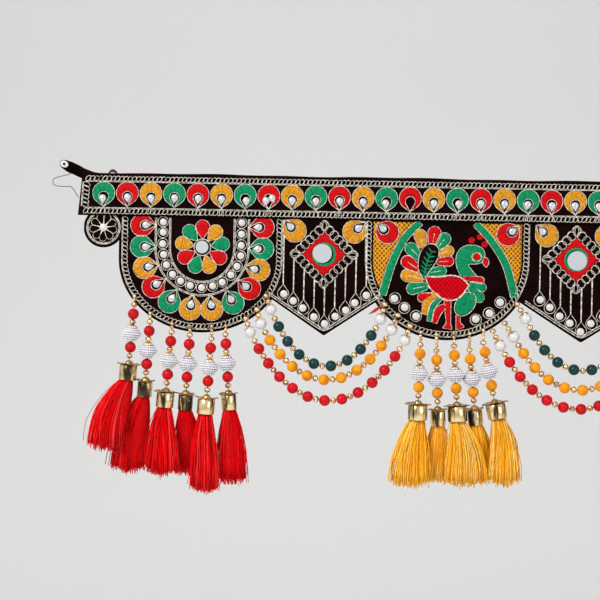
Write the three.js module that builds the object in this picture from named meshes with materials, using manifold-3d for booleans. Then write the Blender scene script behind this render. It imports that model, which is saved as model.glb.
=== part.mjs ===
// A toran: an embroidered black velvet door hanging on a cloth-covered pipe, with bead strings,
// tassels and three-row bead garlands. Millimetres, +Z up, +X to the right, the front faces -Y.
// The origin lies on the pipe's axis, midway along the heading band.
import * as THREE from "three";
import { mergeVertices } from "three/addons/utils/BufferGeometryUtils.js";
import Module from "manifold-3d";

const wasm = await Module();
wasm.setup();

// Pieces that touch on the real thing stay this far apart.
const GAP = 0.3;

// The pipe and the black cloth sleeve round it. The left end has sprung up and forwards, and is cut
// slantwise: its front side is shorter. loose is how far the sleeve stands off its usual radius there.
const SLEEVE_R = 4.5;
const SLEEVE_WALL = 0.9;
const PIPE_R = 3.2;
const PIPE_BORE_R = 1.7;
const PIPE_BORE_DEPTH = 10;
const PIPE_STANDS_OUT = 0.6;
const PIPE_SIDES = 10;
const PIPE_CUT = 0.75;
const PIPE_AXIS = [
  { x: -392.4, y: -11.4, z: 12.1, loose: -0.2 },
  { x: -388, y: -7, z: 10, loose: 0.5 },
  { x: -382, y: -2, z: 7.6, loose: 0.4 },
  { x: -375, y: 0, z: 4.2, loose: 0 },
  { x: -364, y: 0, z: 1.2, loose: 0 },
  { x: -348, y: 0, z: 0, loose: 0 },
  { x: -300, y: 0, z: 0, loose: 0 },
  { x: 300, y: 0, z: 0, loose: 0 },
  { x: 348, y: 0, z: 0, loose: 0 },
  { x: 398, y: 0, z: 0, loose: 0 },
];

// The heading band. Every drop in this file is measured down from its top edge.
const BAND_TOP_Z = 5;
const BAND_HEIGHT = 43;
const BAND_HALF = 379;
const BAND_END_SLANT = 4;
const BAND_THICK = 1.8;
const BAND_BACK_Y = -SLEEVE_R - GAP;
const BAND_FRONT_Y = BAND_BACK_Y - BAND_THICK;
const BAND_COLUMNS = 34;

// The flap cloth, cut in one piece, with its top edge behind the band.
const CLOTH_THICK = 1.5;
const CLOTH_FRONT_Y = BAND_BACK_Y + GAP + 0.1;
const CLOTH_TOP_DROP = 35;
const CLOTH_ROWS = 3;

// Scallops are vertical down to sideDrop and end in half an ellipse.
const SCALLOPS = [
  { name: "left", x: -254, half: 83.4, sideDrop: 85, drop: 158.5 },
  { name: "middle", x: -8, half: 85.2, sideDrop: 81.3, drop: 161.7 },
  { name: "right", x: 254, half: 83.4, sideDrop: 85, drop: 158.5 },
];
// Pointed flaps fill the ground between the scallops.
const POINTS = [
  { name: "left", x: -130.4, drop: 159.3, slope: 0.67 },
  { name: "right", x: 127, drop: 161.5, slope: 0.64 },
];
// Round end tabs.
const TABS = [
  { x: -353.2, drop: 55, r: 20 },
  { x: 353.2, drop: 55, r: 20 },
];

// How far the hanging cloth stands off its flat plane, growing towards the lower edge.
const SWAY = { from: 14, full: 110, broad: 1.3, broadLength: 262, fine: 0.5, fineLength: 97 };
const CURL = { from: 118, over: 40, out: 1.2 };

// Round mirrors sewn on the flaps.
const MIRROR_THICK = 1.2;
const MIRROR_SIDES = 20;
const MIRROR_LIFT = 0.45;
const MIRRORS = [
  { name: "mirror_scallop_left", x: -254, drop: 72.7, r: 6.4 },
  { name: "mirror_point_left", x: -133.4, drop: 76.9, r: 9.6 },
  { name: "mirror_point_right", x: 122, drop: 79.6, r: 9.8 },
  { name: "mirror_scallop_right", x: 254, drop: 72.7, r: 6.4 },
];

// Beads: radii, and the thread that carries them.
const THREAD_R = 0.7;
const SEED_R = 1.9;
const SEED_PITCH = 3.8;
const GOLD_R = 3;
const ROUND_R = 5.6;
const PEARL_R = 6;
const CLUSTER_R = 9.3;
const CLUSTER_HALF = 7.4;
const STRING_SIDES = 6;

// Distances down a hanging string, from its uppermost gold bead.
const STRING_STEPS = {
  round1: 9.1,
  gold2: 17.2,
  flange1: 20.6,
  cluster: 28.9,
  round2: 42.4,
  gold3: 51.1,
  dome: 54.6,
  flange2: 58.6,
  capTop: 60,
  capBottom: 75,
};
const FLANGE_THICK = 0.9;
const SMALL_FLANGE_R = 5.4;
const DOME_R = 4;
// Brass caps by colour of silk: the tassels that hang in front carry the wide ones.
const CAPS = {
  red: { front: { r: 8.8, flange: 12.2 }, back: { r: 7.4, flange: 9.8 } },
  yellow: { front: { r: 9.7, flange: 13.6 }, back: { r: 7.6, flange: 9.6 } },
};

// One row for each string: its place from the flap's middle, how far its top gold bead hangs below
// the cloth's edge, its seed beads, the cap's sideways lean and y, and the tassel below it: how far
// its tip swings sideways, its length and half of its fanned width.
const RED_STRINGS = [
  { x: -66.5, hang: 2.6, seeds: 2, lean: -5.2, capY: -10.5, swing: -20.9, length: 68, fan: 15, layer: "front" },
  { x: -50.5, hang: 5.2, seeds: 2, lean: -4.8, capY: -4.6, swing: -15.1, length: 76, fan: 15.5, layer: "back" },
  { x: -28.6, hang: 4.5, seeds: 2, lean: -5.5, capY: -10.5, swing: -0.7, length: 66, fan: 15, layer: "front" },
  { x: -10.4, hang: 3.2, seeds: 2, lean: -3.9, capY: -4.6, swing: 5.1, length: 65, fan: 14, layer: "back" },
  { x: 11.3, hang: 6.7, seeds: 3, lean: -4.5, capY: -10.5, swing: 0.9, length: 77, fan: 13, layer: "front" },
  { x: 25.3, hang: 5.1, seeds: 2, lean: 5, capY: -4.6, swing: 2.8, length: 74, fan: 14.5, layer: "back" },
];
const YELLOW_STRINGS = [
  { x: -25.7, hang: 8.4, seeds: 3, lean: -1.6, capY: -10.5, swing: -8.1, length: 65, fan: 19, layer: "front" },
  { x: -9.4, hang: 11.1, seeds: 4, lean: 3.5, capY: -4.6, swing: -0.1, length: 57, fan: 13.5, layer: "back" },
  { x: 8.1, hang: 5.8, seeds: 3, lean: 4.8, capY: -10.5, swing: 9.2, length: 63, fan: 19.5, layer: "front" },
  { x: 23.6, hang: 12.2, seeds: 4, lean: 8.4, capY: -4.6, swing: 5.2, length: 56, fan: 13.5, layer: "back" },
  { x: 37.3, hang: 9.8, seeds: 3, lean: 15.6, capY: -10.5, swing: 6.1, length: 65, fan: 14, layer: "front" },
];
const STRING_GROUPS = [
  { name: "red_left", colour: "red", scallop: 0, mirror: 1, strings: RED_STRINGS },
  { name: "yellow", colour: "yellow", scallop: 1, mirror: 1, strings: YELLOW_STRINGS },
  { name: "red_right", colour: "red", scallop: 2, mirror: -1, strings: RED_STRINGS },
];

// Tassels: locks fused into a short head under the brass cap, fanned out sideways.
const TASSEL_HEAD_R = 5.8;
const TASSEL_HEAD_H = 3;
// Locks stand in two rows, a front one (side -1) and a back one.
const LOCK_ROWS = [
  { side: -1, count: 6 },
  { side: 1, count: 5 },
];
const LOCK_R = { root: 0.8, middle: 1.5, tip: 1.9 };
const ROOT_SPREAD = { x: 4, y: 1.9 };
const TIP_SPREAD_Y = 2.1;
const LOCK_BEND = { along: 0.45, across: 0.58 };
const TIP_UNEVEN = 0.035;
const TIP_Y = { front: -15, back: -0.6 };

// Garlands: an anchor bead on the cloth, a pearl below it, and a catenary between the two pearls.
// from and to are [x, drop] of the anchors; pearlFrom and pearlTo are those of the pearls.
const GARLAND_SIDES = 5;
const GARLAND_GOLD_R = 3.1;
const GARLAND_END = 9.7;
const GARLAND_Y = { anchor: -GOLD_R - GAP, pearl: -PEARL_R - GAP, low: 3 };
const GARLANDS = [
  { name: "garland_left_green", from: [-189, 120.6], pearlFrom: [-183.5, 134.3],
    pearlTo: [-74.4, 141.8], to: [-70, 126.8], beads: 8, pitch: 8.7 },
  { name: "garland_left_yellow", from: [-197.9, 134.4], pearlFrom: [-193.4, 148.7],
    pearlTo: [-63.2, 152.5], to: [-56.8, 137.4], beads: 9, pitch: 8.7 },
  { name: "garland_left_red", from: [-208.8, 143.8], pearlFrom: [-203.8, 157.3],
    pearlTo: [-49.8, 162.5], to: [-44.4, 148.1], beads: 11, pitch: 8.7 },
  { name: "garland_right_green", from: [62.3, 124.4], pearlFrom: [70.9, 138.6],
    pearlTo: [187, 137.5], to: [192, 123.5], beads: 8, pitch: 9 },
  { name: "garland_right_yellow", from: [50.6, 143.6], pearlFrom: [59.2, 157.1],
    pearlTo: [196.4, 151.5], to: [201, 137], beads: 9, pitch: 9.15 },
  { name: "garland_right_red", from: [38.8, 151.8], pearlFrom: [45.8, 166.1],
    pearlTo: [207, 160], to: [212, 146], beads: 11, pitch: 9 },
];

const material = (color, roughness, metalness = 0) =>
  new THREE.MeshStandardMaterial({ color, roughness, metalness });
const VELVET = material("#15090b", 0.95);
const PLASTIC = material("#e9e9e4", 0.4);
const GLASS = material("#cfd8dc", 0.05, 1);
const BRASS_AND_BEADS = material("#c9a760", 0.3, 0.8);
const SILK = {
  red: material("#e01018", 0.5),
  yellow: material("#f6a81c", 0.5),
};
const BEADS = {
  green: material("#07484a", 0.35),
  yellow: material("#f5a815", 0.4),
  red: material("#d8081a", 0.4),
};

const clamp = (value, low, high) => Math.min(high, Math.max(low, value));

// Y offset of the hanging cloth at x and a drop below the band's top edge.
function sway(x, drop) {
  const grow = clamp((drop - SWAY.from) / (SWAY.full - SWAY.from), 0, 1);
  const broad = SWAY.broad * Math.sin((2 * Math.PI * x) / SWAY.broadLength + 0.7);
  const fine = SWAY.fine * Math.sin((2 * Math.PI * x) / SWAY.fineLength + 1.9);
  const curl = clamp((drop - CURL.from) / CURL.over, 0, 1);
  return grow * (broad + fine) - CURL.out * curl * curl;
}

// The cloth's lower edge: the lowest of the scallops, points and tabs at x.
function edgeDrop(x) {
  const arc = (o, half, deep, from) => {
    const t = (x - o.x) / half;
    return Math.abs(t) > 1 ? 0 : from + deep * Math.sqrt(1 - t * t);
  };
  return Math.max(
    ...SCALLOPS.map((s) => arc(s, s.half, s.drop - s.sideDrop, s.sideDrop)),
    ...POINTS.map((p) => p.drop - p.slope * Math.abs(x - p.x)),
    ...TABS.map((t) => arc(t, t.r, t.r, t.drop)),
  );
}

// The cloth's upper edge, which only shows where a round end tab leaves the band.
function topDrop(x) {
  const tab = TABS[x < 0 ? 0 : 1];
  const out = (x - tab.x) * Math.sign(tab.x);
  const arc = tab.drop - Math.sqrt(Math.max(0, tab.r ** 2 - out ** 2));
  return out > 0 ? Math.max(CLOTH_TOP_DROP, arc) : CLOTH_TOP_DROP;
}

function addMesh(group, name, geometry, piecematerial) {
  const mesh = new THREE.Mesh(geometry, piecematerial);
  mesh.name = name;
  group.add(mesh);
}

// A closed sheet over a grid of columns. place(column, row, side) gives a point, side 0 is the front.
function sheetGeometry(columns, rows, place) {
  const points = [];
  const index = [];
  const at = (c, r, side) => (side * columns + c) * rows + r;
  for (const side of [0, 1])
    for (let c = 0; c < columns; c++)
      for (let r = 0; r < rows; r++) points.push(...place(c, r, side));
  const quad = (a, b, c, d) => index.push(a, b, c, a, c, d);
  for (let c = 0; c + 1 < columns; c++) {
    for (let r = 0; r + 1 < rows; r++) {
      quad(at(c, r, 0), at(c, r + 1, 0), at(c + 1, r + 1, 0), at(c + 1, r, 0));
      quad(at(c, r, 1), at(c + 1, r, 1), at(c + 1, r + 1, 1), at(c, r + 1, 1));
    }
    quad(at(c, 0, 0), at(c + 1, 0, 0), at(c + 1, 0, 1), at(c, 0, 1));
    quad(at(c, rows - 1, 0), at(c, rows - 1, 1), at(c + 1, rows - 1, 1), at(c + 1, rows - 1, 0));
  }
  for (let r = 0; r + 1 < rows; r++) {
    quad(at(0, r, 0), at(0, r, 1), at(0, r + 1, 1), at(0, r + 1, 0));
    const last = columns - 1;
    quad(at(last, r, 0), at(last, r + 1, 0), at(last, r + 1, 1), at(last, r, 1));
  }
  const geometry = new THREE.BufferGeometry();
  geometry.setAttribute("position", new THREE.Float32BufferAttribute(points, 3));
  geometry.setIndex(index);
  return geometry;
}

function headingBand() {
  const rows = 4;
  return sheetGeometry(BAND_COLUMNS, rows, (c, r, side) => {
    const drop = (r / (rows - 1)) * BAND_HEIGHT;
    const half = BAND_HALF - BAND_END_SLANT * (1 - drop / BAND_HEIGHT);
    const x = -half + (2 * half * c) / (BAND_COLUMNS - 1);
    const y = side ? BAND_BACK_Y : BAND_FRONT_Y;
    return [x, y + sway(x, drop), BAND_TOP_Z - drop];
  });
}

// Column places that follow each flap's outline closely where it is steep.
function clothColumns() {
  const spread = (o, half, steps) =>
    Array.from({ length: steps + 1 }, (_, i) => o.x + half * Math.sin(Math.PI * (i / steps - 0.5)));
  const found = [
    ...SCALLOPS.flatMap((s) => spread(s, s.half - 0.02, 18)),
    ...SCALLOPS.flatMap((s) => [s.x - s.half - 0.05, s.x + s.half + 0.05]),
    ...POINTS.flatMap((p) => [p.x - 30, p.x - 12, p.x, p.x + 12, p.x + 30]),
    ...TABS.flatMap((t) => spread(t, t.r - 0.3, 8)),
  ].sort((a, b) => a - b);
  return found.filter((x, i) => i === 0 || x - found[i - 1] > 0.04);
}

function flapCloth() {
  const xs = clothColumns();
  return sheetGeometry(xs.length, CLOTH_ROWS + 1, (c, r, side) => {
    const x = xs[c];
    const top = topDrop(x);
    const drop = top + ((edgeDrop(x) - top) * r) / CLOTH_ROWS;
    const y = CLOTH_FRONT_Y + (side ? CLOTH_THICK : 0);
    return [x, y + sway(x, drop), BAND_TOP_Z - drop];
  });
}

// A path of straight pieces, read by its length.
function pathOf(points) {
  const at = [0];
  for (let i = 1; i < points.length; i++) at.push(at[i - 1] + points[i].distanceTo(points[i - 1]));
  const point = (s) => {
    let i = 1;
    while (i < points.length - 1 && at[i] < s) i++;
    const share = (s - at[i - 1]) / (at[i] - at[i - 1]);
    return points[i - 1].clone().lerp(points[i], share);
  };
  const reach = 1.5;
  const tangent = (s) => point(s + reach).sub(point(s - reach)).normalize();
  return { length: at[points.length - 1], point, tangent };
}

// Rings of given radius along a path, joined into a closed surface. A closed profile makes a tube.
// A station's cut leans its ring, so that a cut of 1 is at 45 degrees to the path.
function ringsAlong(path, stations, sides, closedProfile = false) {
  const points = [];
  const index = [];
  const across = new THREE.Vector3(0, 1, 0);
  for (const { s, r, cut = 0 } of stations) {
    const centre = path.point(s);
    const along = path.tangent(s);
    const u = across.clone().cross(along).normalize();
    const v = along.clone().cross(u);
    for (let k = 0; k < sides; k++) {
      const angle = (2 * Math.PI * k) / sides;
      const offset = u.clone().multiplyScalar(Math.cos(angle)).addScaledVector(v, Math.sin(angle));
      offset.addScaledVector(along, -cut * Math.sin(angle));
      points.push(...centre.clone().addScaledVector(offset, r).toArray());
    }
  }
  const rings = stations.length;
  const joins = closedProfile ? rings : rings - 1;
  for (let i = 0; i < joins; i++)
    for (let k = 0; k < sides; k++) {
      const a = i * sides + k;
      const b = i * sides + ((k + 1) % sides);
      const c = ((i + 1) % rings) * sides + k;
      const d = ((i + 1) % rings) * sides + ((k + 1) % sides);
      index.push(a, b, d, a, d, c);
    }
  if (!closedProfile)
    for (let k = 1; k + 1 < sides; k++) {
      const last = (rings - 1) * sides;
      index.push(0, k + 1, k, last, last + k, last + k + 1);
    }
  const geometry = new THREE.BufferGeometry();
  geometry.setAttribute("position", new THREE.Float32BufferAttribute(points, 3));
  geometry.setIndex(index);
  return geometry;
}

// Rings of a round bead: two across a small one, three across a large one.
function bead(s, r, large = false) {
  if (!large) return [-0.5, 0.5].map((t) => ({ s: s + t * r, r: r * Math.sqrt(1 - t * t) }));
  return [-0.72, 0, 0.72].map((t) => ({ s: s + t * r, r: r * Math.sqrt(1 - t * t) }));
}

function pipeAndSleeve(group) {
  const points = PIPE_AXIS.map((p) => new THREE.Vector3(p.x, p.y, p.z));
  const path = pathOf(points);
  const { length } = path;
  const knots = points.slice(1, -1).map((p, i) => pathOf(points.slice(0, i + 2)).length);
  const along = [0, ...knots, length];
  const cut = (i) => (i === 0 ? PIPE_CUT : 0);
  const inside = SLEEVE_R - SLEEVE_WALL;
  const sleeve = [
    ...along.map((s, i) => ({ s, r: SLEEVE_R + PIPE_AXIS[i].loose, cut: cut(i) })),
    ...along.map((s, i) => ({ s, r: inside, cut: cut(i) })).toReversed(),
  ];
  const ends = { near: -PIPE_STANDS_OUT, far: length + PIPE_STANDS_OUT };
  const pipe = [
    { s: ends.near + PIPE_BORE_DEPTH, r: PIPE_BORE_R },
    { s: ends.near, r: PIPE_BORE_R, cut: PIPE_CUT },
    { s: ends.near, r: PIPE_R, cut: PIPE_CUT },
    ...knots.map((s) => ({ s, r: PIPE_R })),
    { s: ends.far, r: PIPE_R },
    { s: ends.far, r: PIPE_BORE_R },
    { s: ends.far - PIPE_BORE_DEPTH, r: PIPE_BORE_R },
  ];
  addMesh(group, "pipe_sleeve", ringsAlong(path, sleeve, PIPE_SIDES, true), VELVET);
  addMesh(group, "pipe", ringsAlong(path, pipe, PIPE_SIDES), PLASTIC);
}

// A mirror lies flat on the cloth's slope.
function mirrorDisc({ x, drop, r }) {
  const disc = new THREE.CylinderGeometry(r, r, MIRROR_THICK, MIRROR_SIDES);
  const across = (sway(x + r, drop) - sway(x - r, drop)) / (2 * r);
  const down = (sway(x, drop + r) - sway(x, drop - r)) / (2 * r);
  const normal = new THREE.Vector3(-across, 1, down).normalize();
  disc.applyQuaternion(new THREE.Quaternion().setFromUnitVectors(new THREE.Vector3(0, 1, 0), normal));
  const y = CLOTH_FRONT_Y + sway(x, drop) - MIRROR_LIFT - MIRROR_THICK / 2;
  return disc.translate(x, y, BAND_TOP_Z - drop);
}

// The line of a hanging string: seeds on the cloth, then straight down to its brass cap.
function stringPath(row, scallop, mirror) {
  const x = scallop.x + mirror * row.x;
  const drop = edgeDrop(x) + row.hang;
  const front = CLOTH_FRONT_Y + sway(x, drop);
  const seedRun = GOLD_R + SEED_R + (row.seeds - 1) * SEED_PITCH;
  const straight = STRING_STEPS.capBottom;
  const z = BAND_TOP_Z - drop;
  const top = new THREE.Vector3(x, front - SEED_R - GAP, z + seedRun);
  const gold = new THREE.Vector3(x, front - GOLD_R - GAP, z);
  const cap = new THREE.Vector3(x + mirror * row.lean, row.capY, z - straight);
  return { path: pathOf([top, gold, cap]), start: top.distanceTo(gold), cap };
}

function beadString(row, line, cap) {
  const { path, start } = line;
  const steps = STRING_STEPS;
  const end = path.length;
  const seeds = Array.from({ length: row.seeds }, (_, i) => i * SEED_PITCH);
  const stations = [
    ...seeds.flatMap((s) => [
      { s: s - 0.9 * SEED_R, r: THREAD_R },
      { s, r: SEED_R },
    ]),
    ...bead(start, GOLD_R),
    ...bead(start + steps.round1, ROUND_R),
    ...bead(start + steps.gold2, GOLD_R),
    { s: start + steps.flange1, r: SMALL_FLANGE_R },
    { s: start + steps.cluster - CLUSTER_HALF * 0.9, r: SMALL_FLANGE_R },
    { s: start + steps.cluster - CLUSTER_HALF * 0.2, r: CLUSTER_R },
    { s: start + steps.cluster + CLUSTER_HALF * 0.2, r: CLUSTER_R },
    { s: start + steps.cluster + CLUSTER_HALF, r: THREAD_R * 3 },
    ...bead(start + steps.round2, ROUND_R),
    ...bead(start + steps.gold3, GOLD_R),
    { s: start + steps.dome, r: THREAD_R * 2 },
    { s: start + steps.flange2 - FLANGE_THICK, r: DOME_R },
    { s: start + steps.flange2 - FLANGE_THICK, r: cap.flange },
    { s: start + steps.flange2, r: cap.flange },
    { s: start + steps.capTop, r: cap.r },
    { s: end, r: cap.r },
  ];
  return ringsAlong(path, stations, STRING_SIDES);
}

// A mesh as a manifold-3d solid, and back.
function solidOf(geometry) {
  const bare = geometry.clone();
  bare.deleteAttribute("normal");
  bare.deleteAttribute("uv");
  const merged = mergeVertices(bare);
  const vertProperties = merged.attributes.position.array;
  const triVerts = new Uint32Array(merged.index.array);
  return new wasm.Manifold(new wasm.Mesh({ numProp: 3, vertProperties, triVerts }));
}
function geometryOf(solid) {
  const { vertProperties, triVerts } = solid.getMesh();
  const geometry = new THREE.BufferGeometry();
  geometry.setAttribute("position", new THREE.BufferAttribute(vertProperties, 3));
  geometry.setIndex(new THREE.BufferAttribute(triVerts, 1));
  return geometry;
}

// One lock of silk: three-sided, from inside the head to its tip, bowed outwards.
function lockGeometry(root, tip) {
  const bend = root.clone().lerp(tip, LOCK_BEND.along);
  bend.x = root.x + (tip.x - root.x) * LOCK_BEND.across;
  const path = pathOf([root, bend, tip]);
  const stations = [
    { s: 0, r: LOCK_R.root },
    { s: root.distanceTo(bend), r: LOCK_R.middle },
    { s: path.length, r: LOCK_R.tip },
  ];
  return ringsAlong(path, stations, 3);
}

function tassel(row, line, mirror) {
  const { cap, path } = line;
  const along = path.tangent(path.length);
  const under = (depth) => cap.clone().addScaledVector(along, GAP + depth);
  const headPath = pathOf([under(0), under(TASSEL_HEAD_H)]);
  const ends = [0, TASSEL_HEAD_H].map((s) => ({ s, r: TASSEL_HEAD_R }));
  let made = solidOf(ringsAlong(headPath, ends, 8));
  for (const { side, count } of LOCK_ROWS)
    for (let k = 0; k < count; k++) {
      const across = (2 * k - count + 1) / Math.max(...LOCK_ROWS.map((r) => r.count - 1));
      const out = new THREE.Vector3(across * ROOT_SPREAD.x, side * ROOT_SPREAD.y, 0);
      out.addScaledVector(along, -out.dot(along));
      const tip = new THREE.Vector3(
        cap.x + mirror * row.swing + across * row.fan,
        TIP_Y[row.layer] + side * TIP_SPREAD_Y,
        cap.z - row.length * (1 - TIP_UNEVEN * ((k * 2) % 3)),
      );
      made = made.add(solidOf(lockGeometry(under(TASSEL_HEAD_H / 2).add(out), tip)));
    }
  return geometryOf(made);
}

// Points of the catenary of a given length between two points, in the plane of the wall.
function catenary(from, to, length, steps) {
  const span = to.x - from.x;
  const rise = to.z - from.z;
  const level = Math.sqrt(length ** 2 - rise ** 2);
  let low = span / 40;
  let high = span * 10;
  for (let i = 0; i < 60; i++) {
    const a = (low + high) / 2;
    if (2 * a * Math.sinh(span / (2 * a)) > level) low = a;
    else high = a;
  }
  const a = (low + high) / 2;
  const middle = span / 2 - a * Math.asinh(rise / (2 * a * Math.sinh(span / (2 * a))));
  const base = from.z - a * Math.cosh(-middle / a);
  return Array.from({ length: steps + 1 }, (_, i) => {
    const x = (span * i) / steps;
    return new THREE.Vector3(from.x + x, 0, base + a * Math.cosh((x - middle) / a));
  });
}

function garland(row) {
  const stand = (p, lift) => {
    const y = CLOTH_FRONT_Y + sway(p[0], p[1]) + lift;
    return new THREE.Vector3(p[0], y, BAND_TOP_Z - p[1]);
  };
  const start = stand(row.from, GARLAND_Y.anchor);
  const pearlFrom = stand(row.pearlFrom, GARLAND_Y.pearl);
  const pearlTo = stand(row.pearlTo, GARLAND_Y.pearl);
  const end = stand(row.to, GARLAND_Y.anchor);
  const length = 2 * GARLAND_END + 2 * row.beads * row.pitch;
  const steps = 48;
  const hung = catenary(pearlFrom, pearlTo, length, steps).map((p, i) => {
    const t = i / steps;
    p.y = pearlFrom.y + (pearlTo.y - pearlFrom.y) * t + GARLAND_Y.low * 4 * t * (1 - t);
    return p;
  });
  const path = pathOf([start, ...hung, end]);
  const lead = start.distanceTo(pearlFrom);
  const tail = end.distanceTo(pearlTo);
  const run = path.length - lead - tail;
  const pitch = (run - 2 * GARLAND_END) / (2 * row.beads);
  const stations = [
    { s: -GOLD_R, r: THREAD_R },
    ...bead(0, GOLD_R),
    ...bead(lead * 0.43, GOLD_R),
    ...bead(lead, PEARL_R, true),
  ];
  for (let k = 0; k <= 2 * row.beads; k++) {
    const s = lead + GARLAND_END + k * pitch;
    stations.push(...bead(s, k % 2 ? ROUND_R : GARLAND_GOLD_R));
  }
  stations.push(
    ...bead(lead + run, PEARL_R, true),
    ...bead(path.length - tail * 0.43, GOLD_R),
    ...bead(path.length, GOLD_R),
    { s: path.length + GOLD_R, r: THREAD_R },
  );
  return ringsAlong(path, stations, GARLAND_SIDES);
}

const toran = new THREE.Group();
pipeAndSleeve(toran);
addMesh(toran, "heading_band", headingBand(), VELVET);
addMesh(toran, "flap_cloth", flapCloth(), VELVET);
for (const mirror of MIRRORS) addMesh(toran, mirror.name, mirrorDisc(mirror), GLASS);
for (const { name, colour, scallop, mirror, strings } of STRING_GROUPS)
  strings.forEach((row, i) => {
    const line = stringPath(row, SCALLOPS[scallop], mirror);
    const beads = beadString(row, line, CAPS[colour][row.layer]);
    addMesh(toran, `string_${name}_${i + 1}`, beads, BRASS_AND_BEADS);
    addMesh(toran, `tassel_${name}_${i + 1}`, tassel(row, line, mirror), SILK[colour]);
  });
for (const row of GARLANDS) {
  const colour = row.name.split("_").at(-1);
  addMesh(toran, row.name, garland(row), BEADS[colour]);
}

export default toran;
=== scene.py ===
import math

import bmesh
import bpy
import numpy as np
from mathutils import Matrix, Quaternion, Vector


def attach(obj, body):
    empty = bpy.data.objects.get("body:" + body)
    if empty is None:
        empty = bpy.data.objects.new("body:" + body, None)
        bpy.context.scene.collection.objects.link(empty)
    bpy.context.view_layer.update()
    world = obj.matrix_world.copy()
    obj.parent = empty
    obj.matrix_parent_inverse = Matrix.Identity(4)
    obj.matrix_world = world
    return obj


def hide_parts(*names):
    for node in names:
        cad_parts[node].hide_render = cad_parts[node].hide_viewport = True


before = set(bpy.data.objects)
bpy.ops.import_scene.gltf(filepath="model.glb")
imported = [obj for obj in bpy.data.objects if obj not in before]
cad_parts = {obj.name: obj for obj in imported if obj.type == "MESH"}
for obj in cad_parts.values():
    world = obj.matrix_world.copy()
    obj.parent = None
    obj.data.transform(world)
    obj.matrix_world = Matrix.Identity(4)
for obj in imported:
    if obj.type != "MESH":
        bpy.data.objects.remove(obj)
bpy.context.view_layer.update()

# A toran: an embroidered velvet door hanging. Lengths here are millimetres until a mesh is made.
# u runs to the right, drop runs down from the band's top edge, and height stands off the cloth.
MM = 0.001
TAU = math.tau
GAP = 0.3


def table(columns, *rows):
    """Rows of values, each as a dictionary with the columns' names."""
    return [dict(zip(columns.split(), row)) for row in rows]


# The band and the flap cloth.
BAND_TOP_Z = 5
BAND_HEIGHT = 43
BAND_HALF = 379
BAND_END_SLANT = 4
BAND_THICK = 1.8
BAND_BACK_Y = -4.8
CLOTH_THICK = 1.5
CLOTH_TOP_DROP = 35
CLOTH_HALF = 372.95
FLAP_ROWS = 18
BAND_GRID = (400, 12)
FRONT_Y = {"band": BAND_BACK_Y - BAND_THICK, "flap": BAND_BACK_Y + GAP + 0.1}
SCALLOPS = table(
    "x half side_drop drop",
    (-254, 83.4, 85, 158.5), (-8, 85.2, 81.3, 161.7), (254, 83.4, 85, 158.5),
)
POINTS = table(
    "name x drop slope motif mirror mirror_r",
    ("left", -130.4, 159.3, 0.67, (-131.6, 77.8), (-133.4, 76.9), 9.6),
    ("right", 127, 161.5, 0.64, (121.2, 78.6), (122, 79.6), 9.8),
)
TABS = table("x drop r", (-353.2, 55, 20), (353.2, 55, 20))
SWAY = dict(start=14, full=110, broad=1.3, broad_length=262, fine=0.5, fine_length=97)
CURL = dict(start=118, over=40, out=1.2)

# The pipe and its sleeve. SLEEVE_LOOSE is added to the radius at each point of the axis.
PIPE_AXIS = [
    (-392.4, -11.4, 12.1), (-388, -7, 10), (-382, -2, 7.6), (-375, 0, 4.2), (-364, 0, 1.2), (-348, 0, 0),
    (-300, 0, 0), (300, 0, 0), (348, 0, 0), (398, 0, 0),
]
SLEEVE_LOOSE = [-0.2, 1, 1.1, 0.6, 0, 0, 0, 0, 0, 0]
PIPE_SIDES = 24
SLEEVE_R = 4.5
SLEEVE_WALL = 0.9
PIPE_CUT = 0.75
PIPE_R = 3.2
PIPE_BORE_R = 1.7
PIPE_BORE_DEPTH = 10
PIPE_STANDS_OUT = 0.6

# Beads and what hangs on a string, with the distances down it from its uppermost gold bead.
THREAD_R = 0.35
SEED_R = 1.9
SEED_PITCH = 3.8
GOLD_R = 3
ROUND_R = 5.6
PEARL_R = 6
CUP_R = 5.6
CAP_WALL = 0.6
STEPS = dict(
    round1=9.1, gold2=17.2, cup=20.3, cluster=28.9, round2=42.4, gold3=51.1, cap_top=60, cap_bottom=75,
)
CAPS = {
    "red": {"front": dict(r=8.8, rim=12.2), "back": dict(r=7.4, rim=9.8)},
    "yellow": {"front": dict(r=9.7, rim=13.6), "back": dict(r=7.6, rim=9.6)},
}
# The strings hang in two layers. root, tip_y and tone are those of a tassel's threads. The back layer's lower
# cap_tone and tone paint the shade it hangs in.
LAYERS = {
    "front": dict(cap_y=-10.5, cap_tone=0.62, root=6.6, tip_y=-15, tone=0.56),
    "back": dict(cap_y=-4.6, cap_tone=0.4, root=5.8, tip_y=-0.6, tone=0.46),
}
STRING_COLUMNS = "x hang seeds lean swing length fan layer"
STRINGS = {
    "red": table(
        STRING_COLUMNS,
        (-66.5, 2.6, 2, -5.2, -20.9, 68, 15, "front"),
        (-50.5, 5.2, 2, -4.8, -15.1, 76, 15.5, "back"),
        (-28.6, 4.5, 2, -5.5, -0.7, 66, 15, "front"),
        (-10.4, 3.2, 2, -3.9, 5.1, 65, 14, "back"),
        (11.3, 6.7, 3, -4.5, 0.9, 77, 13, "front"),
        (25.3, 5.1, 2, 5, 2.8, 74, 14.5, "back"),
    ),
    "yellow": table(
        STRING_COLUMNS,
        (-25.7, 8.4, 3, -1.6, -8.1, 65, 19, "front"),
        (-9.4, 11.1, 4, 3.5, -0.1, 57, 13.5, "back"),
        (8.1, 5.8, 3, 4.8, 9.2, 63, 19.5, "front"),
        (23.6, 12.2, 4, 8.4, 5.2, 56, 13.5, "back"),
        (37.3, 9.8, 3, 15.6, 6.1, 65, 14, "front"),
    ),
}
STRING_GROUPS = table(
    "name scallop side colour",
    ("red_left", 0, 1, "red"), ("yellow", 1, 1, "yellow"), ("red_right", 2, -1, "red"),
)
TASSEL_STRANDS = 300
STRAND_R = 0.36

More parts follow.
